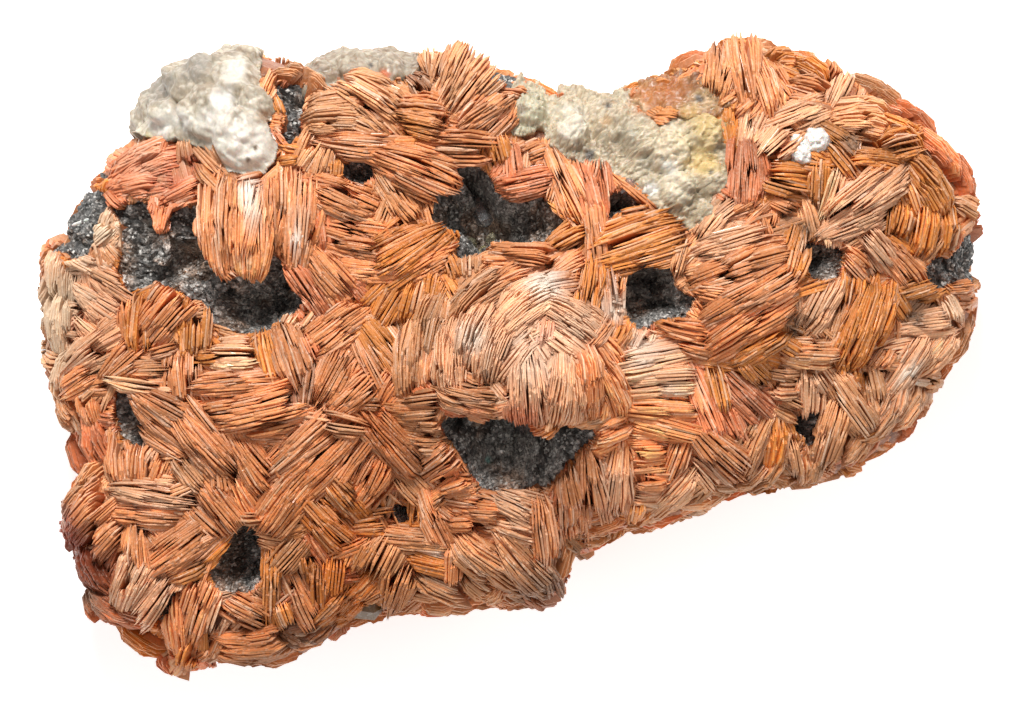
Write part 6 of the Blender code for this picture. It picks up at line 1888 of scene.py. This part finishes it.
@dataclass(frozen=True)
class Studio:
    """Pale floor, hard key light from the top of the picture, soft fill, and a camera looking down."""

    wide: float = 130.7
    plane: float = 22.0
    camera_height: float = 1200.0
    sensor: float = 36.0
    key_watts: float = 4.4
    key_size: float = 180.0
    fill_watts: float = 0.7
    world: float = 0.36
    floor_glow: float = 0.6

    def build(self, shift: Array) -> None:
        """Makes the floor, the lights, the world and the camera.

        Args:
            shift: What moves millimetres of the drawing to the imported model's frame.
        """
        middle = Vector((*shift[:2], 0)) * MM
        mesh = bpy.data.meshes.new("floor")
        half = 3.0
        corners = [(-half, -half, 0), (half, -half, 0), (half, half, 0), (-half, half, 0)]
        mesh.from_pydata(corners, [], [(0, 1, 2, 3)])
        floor = bpy.data.objects.new("floor", mesh)
        bpy.context.scene.collection.objects.link(floor)
        pale = bpy.data.materials.new("floor")
        pale.use_nodes = True
        shader = pale.node_tree.nodes["Principled BSDF"]
        shader.inputs["Base Color"].default_value = (0.93, 0.93, 0.93, 1)
        shader.inputs["Roughness"].default_value = 0.9
        shader.inputs["Emission Color"].default_value = (1, 1, 1, 1)
        shader.inputs["Emission Strength"].default_value = self.floor_glow
        mesh.materials.append(pale)
        floor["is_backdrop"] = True
        self.light("key", (-60, 420, 430), self.key_size, self.key_watts, middle)
        self.light("fill", (-420, -300, 480), 500, self.fill_watts, middle)
        self.light("side", (460, 60, 420), 400, self.fill_watts * 0.8, middle)
        world = bpy.data.worlds.new("studio")
        world.use_nodes = True
        world.node_tree.nodes["Background"].inputs["Color"].default_value = (1, 1, 1, 1)
        world.node_tree.nodes["Background"].inputs["Strength"].default_value = self.world
        bpy.context.scene.world = world
        data = bpy.data.cameras.new("camera")
        data.sensor_width = self.sensor
        data.lens = self.sensor * (self.camera_height - self.plane) / self.wide
        data.clip_end = 20.0
        camera = bpy.data.objects.new("camera", data)
        camera.location = middle + Vector((0, 0, self.camera_height * MM))
        bpy.context.scene.collection.objects.link(camera)
        bpy.context.scene.camera = camera
        bpy.context.scene.view_settings.view_transform = "Standard"

    @staticmethod
    def light(name: str, place: tuple[float, float, float], size: float, watts: float, aim: Vector) -> None:
        """One square area light, aimed at the specimen's middle."""
        data = bpy.data.lights.new(name, "AREA")
        data.size = size * MM
        data.energy = watts
        lamp = bpy.data.objects.new(name, data)
        lamp.location = aim + Vector(place) * MM
        lamp.rotation_mode = "QUATERNION"
        lamp.rotation_quaternion = (aim - lamp.location).to_track_quat("-Z", "Y")
        bpy.context.scene.collection.objects.link(lamp)


RUST = (0.42, 0.115, 0.025)
ORANGE = (0.62, 0.20, 0.04)
DEEP_RED = (0.20, 0.030, 0.014)
BROWN = (0.13, 0.075, 0.035)
WARM_WHITE = (0.72, 0.68, 0.58)
GREEN_CREAM = (0.48, 0.44, 0.30)
# Near black, painted as the shadow in holes, pits and fissures.
PAINTED_HOLE_SHADOW = (0.020, 0.014, 0.010)
TURQUOISE = (0.16, 0.42, 0.38)

# Spots on the galena: a real deep red one and turquoise flecks, and near-black painted shadows under the hollow's
# lip and in its fissure.
GALENA_STAINS_AND_SHADOWS = (
    Spot(1.5, -8.0, 1.2, DEEP_RED, 0.5), Spot(3.9, -10.0, 1.0, PAINTED_HOLE_SHADOW), Spot(4.2, -11.8, 0.9, PAINTED_HOLE_SHADOW),
    Spot(3.6, -13.4, 0.8, PAINTED_HOLE_SHADOW), Spot(-6.6, -8.6, 1.3, PAINTED_HOLE_SHADOW, 0.8), Spot(-3.4, -8.8, 1.1, PAINTED_HOLE_SHADOW, 0.7),
    Spot(6.6, -9.2, 1.2, PAINTED_HOLE_SHADOW, 0.8), Spot(-6.0, -12.0, 0.8, PAINTED_HOLE_SHADOW, 0.7),
    Spot(21.8, 2.2, 0.4, TURQUOISE), Spot(-3.0, -12.8, 0.4, TURQUOISE),
)

# The six dark grey-brown spots are painted shade at the crust's upper left and around its lumps; the pale ones are
# the lumps' own white.
WHITE_LOOK = CrustLook(
    (0.53, 0.46, 0.35), (0.20, 0.14, 0.08), 0.95, 0.46, True, (
        Spot(-33.8, 27.2, 4.2, (0.82, 0.75, 0.65), 0.8), Spot(-43.3, 31.2, 1.7, (0.60, 0.56, 0.48), 0.7),
        Spot(-39.0, 30.3, 1.6, (0.62, 0.58, 0.50), 0.7), Spot(-35.0, 36.5, 1.8, (0.66, 0.61, 0.52), 0.8),
        Spot(-45.0, 35.0, 2.4, (0.22, 0.19, 0.15), 0.8), Spot(-40.0, 37.6, 2.4, (0.24, 0.21, 0.17), 0.8),
        Spot(-32.5, 26.7, 0.35, BROWN), Spot(-33.4, 25.2, 0.35, BROWN),
        Spot(-31.5, 30.8, 0.9, (0.28, 0.17, 0.09), 0.8), Spot(-46.0, 28.3, 1.0, (0.45, 0.42, 0.16), 0.6),
        Spot(-36.0, 33.0, 0.9, (0.22, 0.19, 0.15), 0.7), Spot(-41.4, 29.0, 0.8, (0.20, 0.16, 0.12), 0.7),
        Spot(-36.8, 32.8, 1.7, (0.80, 0.75, 0.68), 0.8), Spot(-37.4, 30.4, 1.4, (0.78, 0.72, 0.63), 0.7),
        Spot(-44.8, 29.6, 1.5, (0.76, 0.71, 0.63), 0.8), Spot(-41.8, 30.4, 1.2, (0.78, 0.74, 0.66), 0.7),
        Spot(-38.5, 35.6, 1.4, (0.34, 0.27, 0.19), 0.6), Spot(-42.6, 33.4, 1.6, (0.32, 0.25, 0.17), 0.6),
    ), 0.0, 0.9,
)

SILKY_LOOK = CrustLook(
    (0.38, 0.32, 0.235), (0.20, 0.13, 0.075), 1.3, 0.22, False, (
        Spot(-16.2, 36.2, 0.7, (0.55, 0.13, 0.03)), Spot(-20.0, 36.0, 0.35, PAINTED_HOLE_SHADOW),
        Spot(-18.0, 37.5, 0.35, PAINTED_HOLE_SHADOW), Spot(-21.0, 35.0, 0.35, PAINTED_HOLE_SHADOW),
    ), 0.22,
)

GRANULAR_LOOK = CrustLook(
    (0.53, 0.44, 0.30), (0.24, 0.17, 0.10), 0.75, 0.5, False, (
        Spot(20.5, 26.5, 4.5, (0.70, 0.58, 0.40), 0.55), Spot(2.0, 31.4, 2.9, GREEN_CREAM, 0.8),
        Spot(1.2, 31.8, 0.7, BROWN, 0.8),
        Spot(9.8, 25.9, 0.75, PAINTED_HOLE_SHADOW), Spot(12.0, 30.2, 0.8, (0.45, 0.27, 0.12), 0.8),
        Spot(24.4, 25.0, 2.3, (0.64, 0.44, 0.14), 0.7), Spot(25.0, 29.6, 2.4, (0.64, 0.44, 0.15), 0.7),
        Spot(7.5, 30.0, 2.2, (0.78, 0.72, 0.60), 0.6), Spot(20.8, 22.6, 2.0, (0.74, 0.66, 0.50), 0.6),
        Spot(14.5, 28.5, 1.4, (0.30, 0.26, 0.18), 0.6), Spot(17.0, 25.0, 1.2, (0.28, 0.24, 0.17), 0.6),
        Spot(8.6, 26.8, 1.0, (0.26, 0.21, 0.15), 0.6), Spot(22.0, 27.6, 1.6, (0.72, 0.60, 0.38), 0.6),
        Spot(27.0, 26.6, 0.6, BROWN, 0.7), Spot(22.6, 21.3, 0.5, BROWN, 0.7),
        Spot(25.2, 23.7, 0.3, PAINTED_HOLE_SHADOW), Spot(19.0, 25.5, 0.3, PAINTED_HOLE_SHADOW),
        Spot(19.8, 24.3, 1.0, (0.80, 0.78, 0.70), 0.8), Spot(17.5, 21.5, 1.0, (0.78, 0.76, 0.70), 0.8),
        Spot(17.5, 33.0, 2.3, RUST, 0.6), Spot(12.2, 32.2, 0.45, PAINTED_HOLE_SHADOW),
    ), 0.0, 0.8,
)

RUSTY_LOOK = CrustLook(
    (0.38, 0.19, 0.065), (0.18, 0.055, 0.016), 0.7, 0.55, False, (
        Spot(17.5, 33.2, 2.2, (0.42, 0.14, 0.022), 0.8), Spot(20.4, 34.2, 2.0, (0.38, 0.115, 0.018), 0.8),
        Spot(24.4, 33.0, 1.6, (0.62, 0.44, 0.24), 0.6), Spot(15.6, 31.6, 1.5, (0.66, 0.52, 0.34), 0.6),
        Spot(23.8, 33.0, 0.6, PAINTED_HOLE_SHADOW), Spot(22.6, 31.2, 1.3, (0.66, 0.46, 0.20), 0.6),
    ), 0.0, 0.7,
)

CLEAR = (
    Crystal(-6.3, 24.0, 86, 12, 3.2, 0.45, 0.35, (0.70, 0.72, 0.72), 1.5, True),
    Crystal(-4.0, 18.8, -65, 18, 4.4, 2.6, 1.8, (0.60, 0.60, 0.58), 1.0, True),
    Crystal(-6.7, 13.4, 20, 40, 1.8, 1.3, 1.2, (0.80, 0.74, 0.45), 0.8, True),
    Crystal(-5.2, 14.6, 100, 35, 2.0, 1.4, 1.2, (0.82, 0.78, 0.52), 0.8, True),
    Crystal(-3.4, 13.6, -30, 30, 1.9, 1.4, 1.1, (0.78, 0.70, 0.40), 0.8, True),
    Crystal(-2.7, 15.4, 60, 42, 1.6, 1.1, 1.0, (0.84, 0.80, 0.60), 0.8, True),
    Crystal(14.5, 21.9, 40, 25, 2.4, 1.5, 1.2, (0.64, 0.64, 0.62), 0.9),
    Crystal(12.3, 19.3, -20, 30, 2.2, 1.4, 1.1, (0.66, 0.64, 0.60), 0.6, True),
)

SMALL = (
    Crystal(-18.8, -31.2, -8, 8, 4.6, 4.2, 3.2, (0.17, 0.085, 0.025), -0.6),
    Crystal(2.0, 20.3, 15, 30, 1.5, 1.3, 1.2, (0.50, 0.33, 0.18), 0.5, True),
    Crystal(3.5, 20.7, 70, 25, 1.4, 1.2, 1.1, (0.52, 0.36, 0.20), 0.5, True),
    Crystal(-4.7, 12.0, 0, 45, 1.3, 1.2, 1.2, (0.80, 0.80, 0.78), 0.6, True),
    Crystal(-6.5, 12.7, 50, 20, 1.2, 0.6, 0.5, (0.78, 0.76, 0.72), 0.6, True),
    Crystal(6.5, 16.2, 75, 15, 3.2, 0.6, 0.5, (0.70, 0.55, 0.40), 0.6, True),
    Crystal(7.2, 16.4, 78, 15, 2.8, 0.5, 0.5, (0.72, 0.58, 0.44), 0.6, True),
    Crystal(-55.0, 17.5, 20, 8, 2.6, 0.4, 0.3, (0.60, 0.60, 0.58), 0.5, True),
    Crystal(-47.8, 15.0, -35, 8, 2.2, 0.4, 0.3, (0.58, 0.58, 0.56), 0.4, True),
)


def drawing_shift(record: dict) -> Array:
    """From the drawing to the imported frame, in millimetres: the rest spot lies under the hub in both."""
    place = next(mount["pos_m"] for mount in record["mounts"] if mount["name"] == "rest_spot")
    return np.array([place[0] / MM - FORM.hub[0], place[1] / MM - FORM.hub[1], 0.0])


def shown(parts: MeshParts, name: str, shift: Array, finish: bpy.types.Material, slot: str,
          smooth: bool = False) -> bpy.types.Object:
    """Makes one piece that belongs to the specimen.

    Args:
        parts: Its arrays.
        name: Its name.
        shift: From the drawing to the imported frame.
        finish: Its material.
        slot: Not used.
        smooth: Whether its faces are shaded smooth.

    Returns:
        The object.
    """
    obj = parts.made(name, shift, smooth)
    obj.data.materials.append(finish)
    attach(obj, "root")
    LOG.info("%s: %d faces", name, len(obj.data.polygons))
    return obj


def write_size(size: dict[str, list[list[float]]], label: str) -> None:
    """Notes the shown object's lowest and highest corner."""
    size[label] = [list(corner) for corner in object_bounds()]


def face_regions(plates: Plates, limits: tuple[float, ...] = (-34.0, -12.0, 12.0, 32.0)) -> list[Plates]:
    """Splits the face's plates into upright strips, each small enough for one mesh."""
    strip = np.searchsorted(limits, plates.origin[:, 0])
    return [plates.chosen(strip == number) for number in range(len(limits) + 1)]


def main() -> None:
    """Builds the specimen's pieces in order, then the studio."""
    logging.basicConfig(level=logging.INFO, format="%(message)s")
    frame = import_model()
    size: dict[str, list[list[float]]] = {}
    write_size(size, "frame")
    shift = drawing_shift(frame["record"])

    barite = StoneFinish(
        "barite_plates", 0.6, 0.2, mottle=0.5, specks=0.2, speck_scale=4200.0,
        speck_colour=(0.86, 0.72, 0.58), bump=0.15, sheen=0.25,
    ).material()
    read = [Book(*row) for row in BOOKS]
    fillers = FillerBooks(read).build()
    added = fillers + RimBooks().build()
    LOG.info("%d books read, %d added", len(read), len(added))
    ground = shown(BariteGround(read + fillers).build(), "barite_ground", shift, barite, "barite")
    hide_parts("barite_crystals")
    plates = Plates.of_books(read + added, 5)
    for number, part in enumerate(face_regions(plates)):
        BarytePiece(f"plates_face_{number}", part).build(shift, barite)
    sides = SideBooks().build()
    left = sides.origin[:, 0] < FORM.hub[0]
    for name, mask in (("plates_side_left", left), ("plates_side_right", ~left)):
        BarytePiece(name, sides.chosen(mask)).build(shift, barite)

    rock = Rock(stains=GALENA_STAINS_AND_SHADOWS)
    galena = StoneFinish(
        "galena", 0.7, 0.4, scale=3600.0, mottle=4.0, specks=0.85, bump=1.0, metallic=0.1,
    ).material()
    net = PolarNet(260, 100)
    body = shown(net.build(galena_depth, rock.rough, rock.colour), "galena_body", shift, galena, "galena")
    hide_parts("galena_matrix")
    shown(GalenaWindows(rock).build(), "galena_windows", shift, galena, "galena")

    pale = StoneFinish("pale_crusts", 0.6, 0.3, mottle=0.6, specks=0.15, glow=0.3).material()
    patch = Shell(RUSTY_PATCH, 0.22, lambda x, y: np.full(np.shape(x), -1.5), 2.6, RUSTY_LOOK.rough, 12.0, 0.8)
    shown(patch.build(RUSTY_LOOK.colour), "rusty_patch", shift, pale, "granular_crust", smooth=True)
    for crust in (
        PaleCrust("white_crust_left", "white_crust", WHITE_LOOK),
        PaleCrust("pale_crust_top", "pale_crust", SILKY_LOOK),
        PaleCrust("pale_crust_middle", "granular_crust", GRANULAR_LOOK),
    ):
        obj = shown(crust.build(), crust.node + "_skin", shift, pale, crust.slot, smooth=True)
        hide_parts(crust.node)
    lobes = shown(Nodule().build(), "nodule_lobes", shift, pale, "nodule", smooth=True)
    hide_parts("white_nodule")

    glass = StoneFinish("clear_crystals", 0.25, 0.06, clear=0.85, index=1.6, bump=0.05).material()
    shown(joined([crystal.build() for crystal in CLEAR]), "clear_crystals", shift, glass, "granular_crust")
    shown(joined([crystal.build() for crystal in SMALL]), "small_crystals", shift, pale, "granular_crust")

    Studio().build(shift)
    write_size(size, "shown")


if __name__ == "__main__":
    main()
